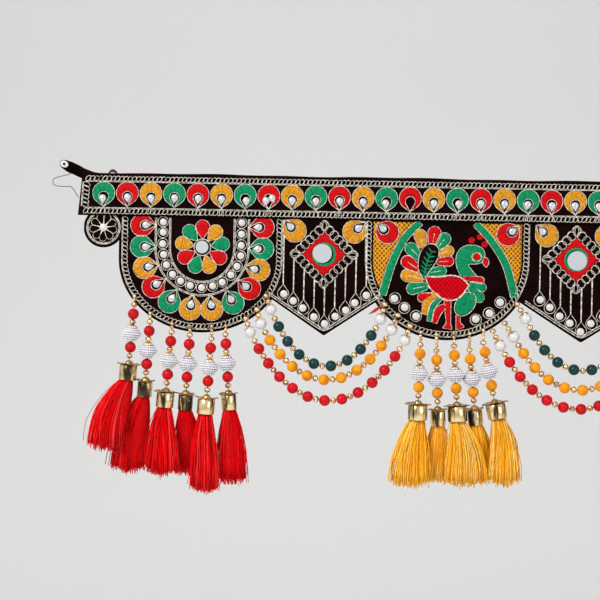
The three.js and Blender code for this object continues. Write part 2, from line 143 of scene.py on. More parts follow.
# Garlands: anchors and pearls as (x, drop).
GARLAND_GOLD_R = 3.35
GARLAND_END = 9.7
GARLAND_LOW = 3
GARLANDS = table(
    "name start pearl_a pearl_b end beads pitch",
    ("left_green", (-189, 120.6), (-183.5, 134.3), (-74.4, 141.8), (-70, 126.8), 8, 8.7),
    ("left_yellow", (-197.9, 134.4), (-193.4, 148.7), (-63.2, 152.5), (-56.8, 137.4), 9, 8.7),
    ("left_red", (-208.8, 143.8), (-203.8, 157.3), (-49.8, 162.5), (-44.4, 148.1), 11, 8.7),
    ("right_green", (62.3, 124.4), (70.9, 138.6), (187, 137.5), (192, 123.5), 8, 9),
    ("right_yellow", (50.6, 143.6), (59.2, 157.1), (196.4, 151.5), (201, 137), 9, 9.15),
    ("right_red", (38.8, 151.8), (45.8, 166.1), (207, 160), (212, 146), 11, 9),
)

# Embroidery.
ZARI_R = 0.36
OUTLINE_R = 0.3
RING_R = 0.33
CHAIN_PITCH = 4.2
CHAIN_INSET = 6.2
BAND_CHAIN_DROPS = (6, 38.4)
FLAP_TOP = BAND_HEIGHT + 1
RHOMBUS = 34.6
CORNER_DROP = 54.6
# The row of stones along a pointed flap's edges.
POINT_STONES = dict(pitch=10.4, above_tip=11.6, slope=0.72)
CRESCENT = dict(first=-353.2, pitch=23.6, count=31, drop=20.4, r=11.1, reach=13.6)
# A stone shifted in its crescent, by the crescent's number along the band.
SHIFTED_STONES = {6: (0.9, 1.2), 7: (-2.4, 0.9), 12: (-1.2, 1.0), 15: (1.1, 0.8), 0: (-0.9, 0.8)}
MISSING_STONE = 13
# Crescents of a flower flap: distance from its middle, drop and heading of the left one of each pair.
SCALLOP_CRESCENTS = [
    (60.8, 52, 0), (60.8, 73.4, 0), (57.4, 94.6, -12),
    (48.4, 113.6, -34), (32, 128.4, -60), (10.8, 135.2, -82),
]
# Round stones under the bird, from its flap's middle outwards to the left and the right.
BIRD_STONES = {
    -1: [(51.6, 120.4), (42.2, 130), (30.4, 137.8)],
    1: [(54.2, 122.6), (42.8, 133.6), (29.8, 140.4)],
}
# The bird's tail petals: root, end, width and colour, as (u, drop) from the flap's middle.
TAIL_PETALS = [
    ((-19.5, 107.4), (-34.4, 110.6), 12, "green"), ((-24, 100.8), (-40, 97.4), 12.6, "yellow"),
    ((-28.4, 91.4), (-40, 83.8), 13, "red"), ((-27.6, 79.2), (-36.4, 70.6), 12.6, "green"),
    ((-24.6, 69), (-27.6, 57.2), 13, "yellow"), ((-15.2, 66), (-13.2, 54.4), 13.6, "red"),
    ((-9.6, 69), (-3, 60.2), 12.8, "green"), ((-8.4, 75.6), (1.4, 72), 10.6, "yellow"),
    ((-10.2, 83.2), (1.6, 82.2), 10.4, "red"), ((-18.4, 94.4), (-5.6, 92), 10.4, "green"),
]

rng = np.random.default_rng(7)


# Vector helpers
def unit(vectors):
    return vectors / np.maximum(np.linalg.norm(vectors, axis=-1, keepdims=True), 1e-9)


def lengths_along(route):
    steps = np.linalg.norm(np.diff(route, axis=0), axis=1)
    return np.concatenate([[0], np.cumsum(steps)])


def point_at(distance, at, route):
    """The point of a route, or of another value along it, at a distance from its start."""
    return np.stack([np.interp(distance, at, route[:, i]) for i in range(route.shape[1])], -1)


def resample(route, count):
    """count points at equal distances along a route."""
    route = np.asarray(route, float)
    at = lengths_along(route)
    return point_at(np.linspace(0, at[-1], count), at, route)


def closed(route):
    return np.concatenate([route, route[:1]])


def smooth_curve(knots, count):
    """A Catmull-Rom curve through a few chosen points."""
    k = np.asarray(knots, float)
    k = np.concatenate([[2 * k[0] - k[1]], k, [2 * k[-1] - k[-2]]])
    spans = len(k) - 3
    t = np.linspace(0, spans, count)
    i = np.minimum(t.astype(int), spans - 1)
    f = (t - i)[:, None]
    a, b, c, d = k[i], k[i + 1], k[i + 2], k[i + 3]
    return 0.5 * (2 * b + (c - a) * f + (2 * a - 5 * b + 4 * c - d) * f**2 + (3 * b - a - 3 * c + d) * f**3)


def sideways(route):
    """Unit normals of a flat route and its tangents."""
    tangent = unit(np.gradient(np.asarray(route, float), axis=0))
    return np.stack([-tangent[:, 1], tangent[:, 0]], 1), tangent


def towards(degrees):
    a = math.radians(degrees)
    return np.array([math.cos(a), math.sin(a)])


def moved(points, degrees, centre):
    c, s = towards(degrees)
    return points @ np.array([[c, s], [-s, c]]) + np.asarray(centre, float)


def teardrop(centre, heading, radius, reach, count=48):
    """A round outline with one tip, at reach from its centre. heading is in degrees, 90 is down."""
    opening = math.acos(min(0.98, radius / reach))
    arc = np.linspace(opening, TAU - opening, count - 12)
    ring = radius * np.stack([np.cos(arc), np.sin(arc)], 1)
    tip = np.array([[reach, 0.0]])
    t = np.linspace(0, 1, 7)[:-1, None]
    down, up = tip + (ring[0] - tip) * t, tip + (ring[-1] - tip) * t
    return moved(np.concatenate([down, ring, up[::-1]]), heading, centre)


def ellipse(centre, rx, ry, count=40, tilt=0.0):
    t = TAU * np.arange(count) / count
    return moved(np.stack([rx * np.cos(t), ry * np.sin(t)], 1), tilt, centre)


def diamond(centre, half, high, count=80):
    """A rhombus outline that starts at its right corner."""
    t = TAU * np.arange(count) / count
    c, s = np.cos(t), np.sin(t)
    size = 1 / (abs(c) + abs(s))
    return np.stack([half * c * size, high * s * size], 1) + np.asarray(centre, float)


def u_route(x, half, side_drop, bottom, top, count=160):
    """Down one side, round half an ellipse and up the other side."""
    t = np.linspace(math.pi, 0, count)
    bend = np.stack([x + half * np.cos(t), side_drop + (bottom - side_drop) * np.sin(t)], 1)
    return np.concatenate([[(x - half, top)], bend, [(x + half, top)]])


# The cloth's surface
def sway(x, drop):
    grow = np.clip((drop - SWAY["start"]) / (SWAY["full"] - SWAY["start"]), 0, 1)
    broad = SWAY["broad"] * np.sin(TAU * x / SWAY["broad_length"] + 0.7)
    fine = SWAY["fine"] * np.sin(TAU * x / SWAY["fine_length"] + 1.9)
    curl = np.clip((drop - CURL["start"]) / CURL["over"], 0, 1)
    return grow * (broad + fine) - CURL["out"] * curl**2


def lay(ground, flat, height):
    """Points (u, drop) on the band or on the flap cloth, standing off it by height."""
    flat = np.asarray(flat, float)
    u, drop, height = np.broadcast_arrays(flat[..., 0], flat[..., 1], height)
    return np.stack([u, FRONT_Y[ground] + sway(u, drop) - height, BAND_TOP_Z - drop], -1)


def edge_drop(x):
    """How far down the flap cloth's lower edge is at x."""
    x = np.asarray(x, float)
    found = np.zeros_like(x)
    rounds = [(s["x"], s["half"], s["side_drop"], s["drop"] - s["side_drop"]) for s in SCALLOPS]
    rounds += [(t["x"], t["r"], t["drop"], t["r"]) for t in TABS]
    for middle, half, start, deep in rounds:
        t = (x - middle) / half
        found = np.maximum(found, np.where(abs(t) <= 1, start + deep * np.sqrt(np.maximum(0, 1 - t * t)), 0))
    for p in POINTS:
        found = np.maximum(found, p["drop"] - p["slope"] * abs(x - p["x"]))
    return found


def top_drop(x):
    tab = TABS[1]
    out = abs(x) - tab["x"]
    arc = tab["drop"] - np.sqrt(np.maximum(0, tab["r"] ** 2 - out**2))
    return np.where(out > 0, np.maximum(CLOTH_TOP_DROP, arc), CLOTH_TOP_DROP)


# Meshes
def grid_faces(rows, cols, wrap=False):
    r = np.arange(rows - 1)[:, None]
    c = np.arange(cols if wrap else cols - 1)[None, :]
    n = (c + 1) % cols
    return np.stack([r * cols + c, r * cols + n, (r + 1) * cols + n, (r + 1) * cols + c], -1).reshape(-1, 4)


def cap_faces(sides, first, last, base):
    """Triangles from two end points to the first ring of points and to the one that starts at base."""
    k = np.arange(sides)
    n = (k + 1) % sides
    return np.concatenate([
        np.stack([np.full(sides, first), n, k], 1), np.stack([np.full(sides, last), base + k, base + n], 1)
    ])


def joining_faces(sides, last):
    """Quads between the last ring of points, which starts at last, and the first."""
    k = np.arange(sides)
    n = (k + 1) % sides
    return np.stack([last + k, last + n, n, k], 1)


class Shapes:
    """Collects points and faces. tone varies the colour, along counts millimetres for the stitches."""

    def __init__(self):
        self.points, self.tone, self.along, self.quads, self.tris = [], [], [], [], []
        self.count = 0

    def add(self, points, quads=(), tris=(), tone=0.5, along=0.0):
        points = np.asarray(points, float).reshape(-1, 3)
        self.points.append(points)
        self.tone.append(np.broadcast_to(np.asarray(tone, float), len(points)))
        self.along.append(np.broadcast_to(np.asarray(along, float), len(points)))
        if len(quads):
            self.quads.append(np.asarray(quads) + self.count)
        if len(tris):
            self.tris.append(np.asarray(tris) + self.count)
        self.count += len(points)

    def build(self, name, material, slot=None, node=None, smooth=True):
        """Makes the piece with its material. slot is not used."""
        quads = np.concatenate(self.quads) if self.quads else np.zeros((0, 4), int)
        tris = np.concatenate(self.tris) if self.tris else np.zeros((0, 3), int)
        mesh = bpy.data.meshes.new(name)
        mesh.vertices.add(self.count)
        mesh.vertices.foreach_set("co", (np.concatenate(self.points) * MM).ravel())
        mesh.loops.add(quads.size + tris.size)
        mesh.loops.foreach_set("vertex_index", np.concatenate([quads.ravel(), tris.ravel()]))
        starts = [np.arange(len(quads)) * 4, quads.size + np.arange(len(tris)) * 3]
        mesh.polygons.add(len(quads) + len(tris))
        mesh.polygons.foreach_set("loop_start", np.concatenate(starts))
        mesh.polygons.foreach_set("use_smooth", np.full(len(mesh.polygons), smooth))
        mesh.update(calc_edges=True)
        mesh.validate()
        for label, values in (("tone", self.tone), ("along", self.along)):
            mesh.attributes.new(label, "FLOAT", "POINT").data.foreach_set("value", np.concatenate(values))
        bm = bmesh.new()
        bm.from_mesh(mesh)
        bmesh.ops.recalc_face_normals(bm, faces=bm.faces)
        bm.to_mesh(mesh)
        bm.free()
        mesh.materials.append(MATERIALS[material])
        piece = linked(name, mesh)
        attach(piece, "root")
        if node:
            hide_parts(node)
        return piece


def linked(name, data):
    made = bpy.data.objects.new(name, data)
    bpy.context.scene.collection.objects.link(made)
    return made


def tubes(shapes, paths, radii, sides, loop=False, tone=0.5):
    """Closed tubes along paths, an array of shape (tubes, points, 3)."""
    paths = np.asarray(paths, float)
    if paths.ndim == 2:
        paths = paths[None]
    many, count, _ = paths.shape
    step = np.roll(paths, -1, 1) - np.roll(paths, 1, 1) if loop else np.gradient(paths, axis=1)
    tangent = unit(step)
    first = unit(np.cross(tangent, (0.0, -1.0, 0.0)))
    second = np.cross(first, tangent)
    angle = TAU * np.arange(sides) / sides
    radii = np.broadcast_to(np.asarray(radii, float), (many, count))[:, :, None, None]
    ring = np.cos(angle)[:, None] * first[:, :, None] + np.sin(angle)[:, None] * second[:, :, None]
    points = paths[:, :, None] + radii * ring
    steps = np.linalg.norm(np.diff(paths, axis=1), axis=2)
    along = np.repeat(np.concatenate([np.zeros((many, 1)), np.cumsum(steps, 1)], 1), sides, 1)
    tone = np.broadcast_to(np.asarray(tone, float), (many,))
    tones = np.repeat(tone, count * sides)
    each = count * sides
    offsets = (np.arange(many) * each)[:, None, None]
    faces = grid_faces(count, sides, wrap=True)
    if loop:
        faces = np.concatenate([faces, joining_faces(sides, each - sides)])
        shapes.add(points, (faces + offsets).reshape(-1, 4), (), tones, along.ravel())
        return
    caps = np.concatenate([
        cap_faces(sides, many * each + i, many * each + many + i, each - sides)
        + [[0, i * each, i * each]] for i in range(many)
    ])
    shapes.add(
        np.concatenate([points.reshape(-1, 3), paths[:, 0], paths[:, -1]]),
        (faces + offsets).reshape(-1, 4), caps,
        np.concatenate([tones, tone, tone]), np.concatenate([along.ravel(), np.zeros(2 * many)]),
    )


def turned(profile, sides, ripple=0, ripple_by=0.0):
    """A closed turned shape about its own axis: profile is [(radius, place)], from pole to pole."""
    profile = np.asarray(profile, float)
    angle = TAU * np.arange(sides) / sides
    wave = 1 - ripple_by * (0.5 + 0.5 * np.cos(ripple * angle))
    inner = profile[1:-1]
    radius = inner[:, :1] * wave[None]
    rings = np.stack([radius * np.cos(angle), radius * np.sin(angle), np.repeat(inner[:, 1:], sides, 1)], -1)
    points = np.concatenate([rings.reshape(-1, 3), [[0, 0, profile[0, 1]], [0, 0, profile[-1, 1]]]])
    size = len(points)
    tris = cap_faces(sides, size - 2, size - 1, (len(inner) - 1) * sides)
    return points, grid_faces(len(inner), sides, wrap=True), tris


def ball(radius, sides=16, rings=9, squash=1.0):
    t = np.linspace(0, math.pi, rings + 2)
    return turned(np.stack([radius * np.sin(t), -radius * squash * np.cos(t)], 1), sides)


def place(shapes, shape, centre, axis, turn=0.0, tone=0.5, scale=1.0):
    """Puts a turned shape at centre with its axis along axis."""
    points, quads, tris = shape
    rotation = Vector((0, 0, 1)).rotation_difference(Vector(axis)) @ Quaternion((0, 0, 1), turn)
    matrix = np.array(rotation.to_matrix())
    shapes.add(scale * points @ matrix.T + np.asarray(centre, float), quads, tris, tone)


# Materials
def new_material(name, colour, roughness, metallic=0.0, **sockets):
    material = bpy.data.materials.new(name)
    material.use_nodes = True
    sockets.update(Base_Color=(*colour, 1), Roughness=roughness, Metallic=metallic)
    for label, value in sockets.items():
        shader_of(material).inputs[label.replace("_", " ")].default_value = value
    return material


def shader_of(material):
    return material.node_tree.nodes["Principled BSDF"]


def node(material, kind, inputs=(), **settings):
    made = material.node_tree.nodes.new(kind)
    for label, value in settings.items():
        setattr(made, label, value)
    for socket, value in dict(inputs).items():
        if isinstance(value, bpy.types.NodeSocket):
            material.node_tree.links.new(value, made.inputs[socket])
        else:
            made.inputs[socket].default_value = value
    return made


def connect(material, output, label):
    material.node_tree.links.new(output, shader_of(material).inputs[label])


def places(material):
    return node(material, "ShaderNodeTexCoord").outputs["Object"]


def noise(material, scale, detail=2.0, stretch=(1, 1, 1)):
    """Cloudy noise of scale cells in a metre."""
    mapped = node(material, "ShaderNodeMapping", {"Vector": places(material), "Scale": stretch})
    inputs = {"Vector": mapped.outputs[0], "Scale": scale, "Detail": detail}
    return node(material, "ShaderNodeTexNoise", inputs).outputs["Fac"]


def attribute(material, label):
    return node(material, "ShaderNodeAttribute", attribute_name=label).outputs["Fac"]


def maths(material, operation, first, second=0.0, third=0.0):
    return node(material, "ShaderNodeMath", {0: first, 1: second, 2: third}, operation=operation).outputs[0]


def ramp(material, value, stops):
    """stops is [(place, colour, factor on the colour)]."""
    made = node(material, "ShaderNodeValToRGB", {"Fac": value})
    elements = made.color_ramp.elements
    while len(elements) < len(stops):
        elements.new(0.5)
    for element, (at, colour, factor) in zip(elements, stops):
        element.position = at
        element.color = (*(min(1, c * factor) for c in colour), 1)
    return made.outputs["Color"]


def tint(material, value, *stops):
    connect(material, ramp(material, value, stops), "Base Color")


def bump(material, height, distance, strength):
    inputs = {"Height": height, "Distance": distance * MM, "Strength": strength}
    connect(material, node(material, "ShaderNodeBump", inputs).outputs["Normal"], "Normal")


def velvet(name, colour):
    material = new_material(
        name, colour, 0.95, Specular_IOR_Level=0.03, Sheen_Weight=0.015, Sheen_Roughness=0.4,
        Sheen_Tint=(0.6, 0.25, 0.22, 1),
    )
    tint(material, noise(material, 55, 3), (0.3, colour, 0.6), (0.75, colour, 1.7))
    bump(material, noise(material, 1500, 2), 0.5, 0.6)
    return material


def zari(name, colour):
    """Metal-wrapped cord: fine turns across the cord and uneven shine."""
    material = new_material(name, colour, 0.4, 0.3)
    tint(material, noise(material, 420, 3), (0.34, colour, 0.3), (0.48, colour, 1), (0.64, colour, 1.5))
    turns = maths(material, "MULTIPLY", attribute(material, "along"), TAU / 0.8)
    bump(material, maths(material, "SINE", turns), 0.12, 0.8)
    return material


def satin(name, colour):
    """Satin stitch: threads side by side, seen in groups that catch the light differently; that light is
    painted into the colour as lighter and darker streaks.
    """
    material = new_material(name, colour, 0.6, Specular_IOR_Level=0.1)
    across = maths(material, "DIVIDE", attribute(material, "along"), 0.9)
    inputs = {"W": across, "Scale": 1.0, "Detail": 1.0}
    streaks = node(material, "ShaderNodeTexNoise", inputs, noise_dimensions="1D").outputs["Fac"]
    broad = maths(material, "MULTIPLY", noise(material, 420, 3), 0.4)
    mixed = maths(material, "MULTIPLY_ADD", streaks, 0.6, broad)
    tint(material, mixed, (0.38, colour, 0.36), (0.47, colour, 0.92), (0.6, colour, 1.25))
    bump(material, streaks, 0.3, 0.9)
    return material


def netted(name, colour, dark, spacing):
    """Open filling stitch: a slanted net of thread with small dark holes."""
    material = new_material(name, colour, 0.6, Specular_IOR_Level=0.04)
    split = node(material, "ShaderNodeSeparateXYZ", {"Vector": places(material)})
    waves = [
        maths(material, "SINE", maths(material, "MULTIPLY", split.outputs[way], TAU / pitch))
        for way, pitch in (("X", 0.0044), ("Z", 0.0048))
    ]
    holes = maths(material, "MULTIPLY", *waves)
    uneven = maths(material, "MULTIPLY", noise(material, 500, 3), 1.8)
    depth = maths(material, "SUBTRACT", maths(material, "ADD", holes, uneven), spacing)
    tint(material, depth, (0.0, colour, 1), (0.35, colour, 0.72), (0.75, dark, 1))
    bump(material, maths(material, "MULTIPLY", depth, -1.0), 0.35, 0.8)
    return material


def coated(name, colour, roughness, metallic, coat, coat_roughness):
    return new_material(
        name, colour, roughness, metallic, Coat_Weight=coat, Coat_Roughness=coat_roughness
    )


def glossy(name, colour, roughness=0.45, coat=0.08):
    material = new_material(
        name, colour, roughness, Specular_IOR_Level=0.15, Coat_Weight=coat, Coat_Roughness=0.15
    )
    tint(material, noise(material, 180, 2), (0.35, colour, 0.72), (0.65, colour, 1.14))
    bump(material, noise(material, 420, 2), 0.06, 0.5)
    return material


def metal(name, colour, roughness, dark, scale, stretch, metallic, contrast):
    """Plated metal in cloudy patches, darker where its pieces' tone is low: the back layer's brass caps get a
    low tone as painted shade. The brass's clouds, stretched upright, paint bands of reflection into its
    colour.
    """
    material = new_material(name, colour, roughness, metallic)
    painted_layer_shade = maths(material, "MULTIPLY_ADD", attribute(material, "tone"), 0.3, -0.15)
    cloudy = maths(material, "ADD", noise(material, scale, 4, stretch), painted_layer_shade)
    tint(material, cloudy, (0.5 - contrast, colour, dark), (0.5, colour, 1), (0.5 + contrast, colour, 1.7))
    inputs = {"Value": cloudy, "To Min": roughness * 1.5, "To Max": roughness * 0.7}
    connect(material, node(material, "ShaderNodeMapRange", inputs).outputs[0], "Roughness")
    bump(material, noise(material, 900, 2), 0.03, 0.5)
    return material


def silk(name, dark, colour, light):
    """Tassel thread: tone sets each thread's colour from dark to light. It differs at random, and is lower in
    the back layer and in the core as painted shade.
    """
    material = new_material(name, colour, 0.6, Specular_IOR_Level=0.08)
    cloudy = maths(material, "MULTIPLY", noise(material, 300, 2), 0.25)
    mixed = maths(material, "ADD", attribute(material, "tone"), cloudy)
    tint(material, mixed, (0.18, dark, 1), (0.5, colour, 1), (0.8, colour, 1), (1.0, light, 1))
    return material


MATERIALS = {
    "velvet": velvet("black_velvet", (0.0052, 0.0012, 0.0014)),
    "zari": zari("zari_cord", (0.73, 0.68, 0.585)),
    "satin_red": satin("satin_red", (0.48, 0.0, 0.002)),
    "satin_yellow": satin("satin_yellow", (0.55, 0.235, 0.012)),
    "satin_green": satin("satin_green", (0.001, 0.21, 0.082)),
    "net_yellow": netted("net_yellow", (0.62, 0.27, 0.02), (0.1, 0.028, 0.002), 0.7),
    "net_red": netted("net_red", (0.52, 0.0, 0.006), (0.27, 0.0, 0.003), 0.8),
    "stone": coated("round_stone", (0.58, 0.55, 0.54), 0.35, 0.15, 0.4, 0.15),
    "kundan": coated("drop_stone", (0.54, 0.54, 0.55), 0.25, 0.4, 0.5, 0.08),
    "mirror": new_material("mirror_glass", (0.74, 0.79, 0.82), 0.12, 0.7),
    "pipe_plastic": glossy("pipe_plastic", (0.64, 0.635, 0.615), 0.45, 0.1),
    # The brass's cloudy noise is stretched upright, painting dark and bright bands of reflection down the
    # caps.
    "brass": metal("cap_brass", (0.5, 0.385, 0.2), 0.2, 0.1, 190, (1, 1, 0.1), 0.92, 0.06),
    "gold_beads": metal("gold_plate", (0.68, 0.45, 0.23), 0.22, 0.3, 300, (1, 1, 1), 0.85, 0.17),
    "filigree": metal("gold_filigree", (0.36, 0.22, 0.075), 0.32, 0.3, 400, (1, 1, 1), 0.75, 0.17),
    "pearl": coated("pearl_coat", (0.62, 0.61, 0.61), 0.22, 0.15, 0.6, 0.12),
    "rice_pearl": coated("rice_pearl", (0.66, 0.66, 0.7), 0.35, 0.0, 0.3, 0.2),
    "red_beads": glossy("red_bead", (0.49, 0.0, 0.003)),
    "yellow_beads": glossy("yellow_bead", (0.74, 0.27, 0.002)),
    "green_beads": glossy("green_bead", (0.0, 0.03, 0.032), 0.35, 0.2),
    "red_silk": silk("red_silk", (0.26, 0.0, 0.001), (0.82, 0.0, 0.003), (1.0, 0.05, 0.05)),
    "yellow_silk": silk("yellow_silk", (0.56, 0.16, 0.003), (1.0, 0.49, 0.022), (1.0, 0.78, 0.26)),
    "loose_thread": new_material("loose_thread", (0.03, 0.027, 0.03), 0.8),
    "red_scrap": new_material("red_scrap", (0.4, 0.01, 0.015), 0.8),
    # The pipe bore's dark lining is painted shade.
    "bore": new_material("pipe_bore", (0.03, 0.028, 0.028), 0.9),
}


# Velvet sheets
def sheet_shapes(columns, rows, front, thick):
    """A closed sheet with rounded edges. front(column number, share of the way down) gives its face."""
    c, r = np.meshgrid(np.arange(columns), np.linspace(0, 1, rows), indexing="ij")
    points = front(c, r)
    rim = np.ones(c.shape)
    rim[1:-1, 1:-1] = 0
    inwards = thick * 0.3 * rim[..., None] * np.array([0, 1, 0])
    back = points + np.array([0, thick, 0]) - inwards
    count = columns * rows
    down, over = np.arange(rows - 1), np.arange(columns - 1)
    border = np.concatenate([down, over * rows + rows - 1, count - 1 - down, (columns - 1 - over) * rows])
    after = np.roll(border, -1)
    faces = grid_faces(columns, rows)
    walls = np.stack([border, after, after + count, border + count], 1)
    shapes = Shapes()
    shapes.add(
        np.concatenate([(points + inwards).reshape(-1, 3), back.reshape(-1, 3)]),
        np.concatenate([faces, faces[:, ::-1] + count, walls]),
    )
    return shapes


def heading_band():
    def front(c, r):
        half = BAND_HALF - BAND_END_SLANT * (1 - r)
        x = -half + 2 * half * c / (BAND_GRID[0] - 1)
        wave = 0.35 * np.sin(x / 31) + 0.25 * np.sin(x / 11.3 + 1)
        return lay("band", np.stack([x, r * BAND_HEIGHT + np.where(r == 0, wave, 0)], -1), 0)

    shapes = sheet_shapes(*BAND_GRID, front, BAND_THICK)
    piece = shapes.build("heading_band_velvet", "velvet", node="heading_band")


def flap_columns():
    """Where the cloth has its columns of points: closer together where its lower edge is steep."""
    rounds = [(s["x"], s["half"] - 0.02) for s in SCALLOPS] + [(t["x"], t["r"] - 0.3) for t in TABS]
    xs = [np.arange(-372, 372.5, 2.2)]
    xs += [x + half * np.sin(np.linspace(-math.pi / 2, math.pi / 2, 70)) for x, half in rounds]
    xs += [np.array([s["x"] - s["half"] - 0.05, s["x"] + s["half"] + 0.05]) for s in SCALLOPS]
    x = np.sort(np.concatenate(xs))
    x = x[abs(x) < CLOTH_HALF]
    return x[np.append(True, np.diff(x) > 0.03)]


def flap_cloth():
    x = flap_columns()
    top, bottom = top_drop(x), edge_drop(x)

    def front(c, r):
        return lay("flap", np.stack([x[c], top[c] + (bottom - top)[c] * r], -1), 0)

    shapes = sheet_shapes(len(x), FLAP_ROWS, front, CLOTH_THICK)
    piece = shapes.build("flap_velvet", "velvet", node="flap_cloth")


# The pipe
def bent_tube(profile, wrinkle=0.0):
    """A tube along the pipe's axis, closed on itself. profile is [(distance, radius, cut)]."""
    axis = smooth_curve(PIPE_AXIS, 600)
    at = lengths_along(axis)
    tangent = unit(np.gradient(axis, axis=0))
    angle = TAU * np.arange(PIPE_SIDES) / PIPE_SIDES
    rings = []
    for distance, radius, cut in profile:
        t = unit(point_at(distance, at, tangent))
        overshoot = min(distance, 0) + max(distance - at[-1], 0)
        centre = point_at(distance, at, axis) + overshoot * t
        n = unit(np.cross((0, 1, 0), t))
        fold = wrinkle * (np.sin(distance / 3.1 + 2 * np.sin(angle)) + np.sin(distance / 7.3 + angle * 3))
        spoke = np.cos(angle)[:, None] * n + np.sin(angle)[:, None] * np.cross(t, n)
        spoke = spoke - cut * np.sin(angle)[:, None] * t
        rings.append(centre + (radius + fold)[:, None] * spoke)
    faces = grid_faces(len(profile), PIPE_SIDES, wrap=True)
    shapes = Shapes()
    joined = joining_faces(PIPE_SIDES, (len(profile) - 1) * PIPE_SIDES)
    shapes.add(np.concatenate(rings), np.concatenate([faces, joined]))
    return shapes


def pipe():
    axis = smooth_curve(PIPE_AXIS, 600)
    at = lengths_along(axis)
    length = at[-1]
    knots = [at[np.argmin(np.linalg.norm(axis - p, axis=1))] for p in np.array(PIPE_AXIS, float)]
    along = np.concatenate([np.linspace(0, 60, 45), np.linspace(63, length, 80)])

    def stations(start, end, radius, hem=0.0):
        return [
            (s, radius(s) - (hem if s in (start, end) else 0), PIPE_CUT * max(0, 1 - (s - start) / 6))
            for s in start + (end - start) * along / length
        ]

    outer = stations(0, length, lambda s: SLEEVE_R + np.interp(s, knots, SLEEVE_LOOSE), 0.3)
    inner = stations(0, length, lambda s: SLEEVE_R - SLEEVE_WALL)[::-1]
    bent_tube(outer + inner, 0.1).build("pipe_sleeve_cloth", "velvet", node="pipe_sleeve")
    near, far = -PIPE_STANDS_OUT, length + PIPE_STANDS_OUT
    deep_near, deep_far = near + PIPE_BORE_DEPTH, far - PIPE_BORE_DEPTH
    tube = [(deep_near, 0.01, 0), (deep_near, PIPE_BORE_R, 0), (near, PIPE_BORE_R, PIPE_CUT)]
    tube += stations(near, far, lambda s: PIPE_R)
    tube += [(far, PIPE_BORE_R, 0), (deep_far, PIPE_BORE_R, 0), (deep_far, 0.01, 0)]
    bent_tube(tube).build("pipe_tube", "pipe_plastic", node="pipe")
    # A dark lining just inside the bore's mouth: painted shade, standing for the shade deep in the hollow
    # pipe.
    bore = [
        (near + 1, PIPE_BORE_R - 0.02, PIPE_CUT), (near + 1, 0.4, PIPE_CUT),
        (near + 8, 0.4, 0), (near + 8, 1.6, 0),
    ]
    bent_tube(bore).build("pipe_bore_shade", "bore", "pipe_plastic")


# Embroidery, gathered by what it is made of
ZARI = {"chains": Shapes(), "outlines": Shapes()}
FILLS = {
    name: Shapes()
    for name in ("satin_red", "satin_yellow", "satin_green", "net_yellow", "net_red", "velvet_patch")
}
STONES = {"round": Shapes(), "drop": Shapes()}


def cord(ground, route, radius=ZARI_R, height=None, loop=False, kind="outlines", step=1.1):
    route = np.asarray(route, float)
    count = max(4, int(lengths_along(route)[-1] / step))
    route = resample(closed(route), count + 1)[:-1] if loop else resample(route, count)
    lift = radius * 0.8 if height is None else height
    tubes(ZARI[kind], lay(ground, route, lift), radius, 4, loop=loop)


def outline(route, radius=OUTLINE_R, height=0.5):
    cord("flap", route, radius, height, loop=True)


def chain(ground, route, width=5.9, pitch=CHAIN_PITCH, edges=(1,), long=0.56, slant=-0.3):
    """A row of cord rings, each over the last, with a thin cord along the sides that edges names."""
    length = lengths_along(np.asarray(route, float))[-1]
    rings = round(length / pitch)
    line = resample(route, 2 * rings + 1)
    centre, normal, tangent = (values[1::2, None] for values in (line, *sideways(line)))
    turn = (TAU * np.arange(14) / 14)[None, :, None]
    half_long = pitch * long * rng.uniform(0.92, 1.08, (rings, 1, 1))
    half_wide = (width / 2 - RING_R) * rng.uniform(0.93, 1.05, (rings, 1, 1))
    lean = slant + rng.uniform(-0.12, 0.12, (rings, 1, 1))
    across = half_wide * np.sin(turn)
    path = centre + tangent * (half_long * np.cos(turn) + lean * across) + normal * across
    tubes(ZARI["chains"], lay(ground, path, 0.55 + 0.3 * np.cos(turn[..., 0])), RING_R, 4, loop=True)
    side_line = resample(route, max(8, int(length / 2)))
    for side in edges:
        edge = side_line + side * (width / 2 + 0.25) * sideways(side_line)[0]
        cord(ground, edge, 0.3, kind="chains", step=1.8)


def fill(ground, first, second, material, pad=0.7, steps=5, base=0.25):
    """Stitches from each point of one line to the same point of another, padded in the middle."""
    length = max(lengths_along(first)[-1], lengths_along(second)[-1])
    fine = max(len(first), 8, int(length / 0.9))
    first, second = resample(first, fine), resample(second, fine)
    t = np.linspace(0, 1, steps + 1)
    flat = first[:, None] + (second - first)[:, None] * t[None, :, None]
    apart = np.minimum(1, np.linalg.norm(second - first, axis=1) / 5)
    points = lay(ground, flat, base + pad * apart[:, None] * np.sin(math.pi * t)[None] ** 0.7)
    under = lay(ground, flat[:, [0, -1]], -0.2)
    along = np.linspace(0, length, fine)
    row, count = steps + 1, fine * (steps + 1)
    left = np.arange(fine) * row
    right = left + steps
    low_left = count + 2 * np.arange(fine)
    low_right = low_left + 1
    quads = np.concatenate([
        grid_faces(fine, row), grid_faces(fine, 2)[:, ::-1] + count,
        np.stack([left[1:], left[:-1], low_left[:-1], low_left[1:]], 1),
        np.stack([right[:-1], right[1:], low_right[1:], low_right[:-1]], 1),
    ])
    ends = [np.append(np.arange(row), low_right[0]), np.append(count - 1 - np.arange(row), low_left[-1])]
    tris = np.concatenate([
        np.stack([line[:-1], line[1:], np.full(row, foot)], 1)
        for line, foot in zip(ends, (low_left[0], low_right[-1]))
    ])
    both = np.concatenate([points.reshape(-1, 3), under.reshape(-1, 3)])
    FILLS[material].add(both, quads, tris, along=np.concatenate([np.repeat(along, row), np.repeat(along, 2)]))


def fill_ring(outer, inner, material, *how, **also):
    """Stitches between two closed outlines of the flap cloth's embroidery."""
    fill("flap", closed(outer), closed(inner), material, *how, **also)


def fill_between(first, second, material, pad=0.7, steps=5):
    """Stitches between two lines on the flap cloth, with a cord round them."""
    fill("flap", first, second, material, pad, steps)
    outline(np.concatenate([first, second[::-1]]))


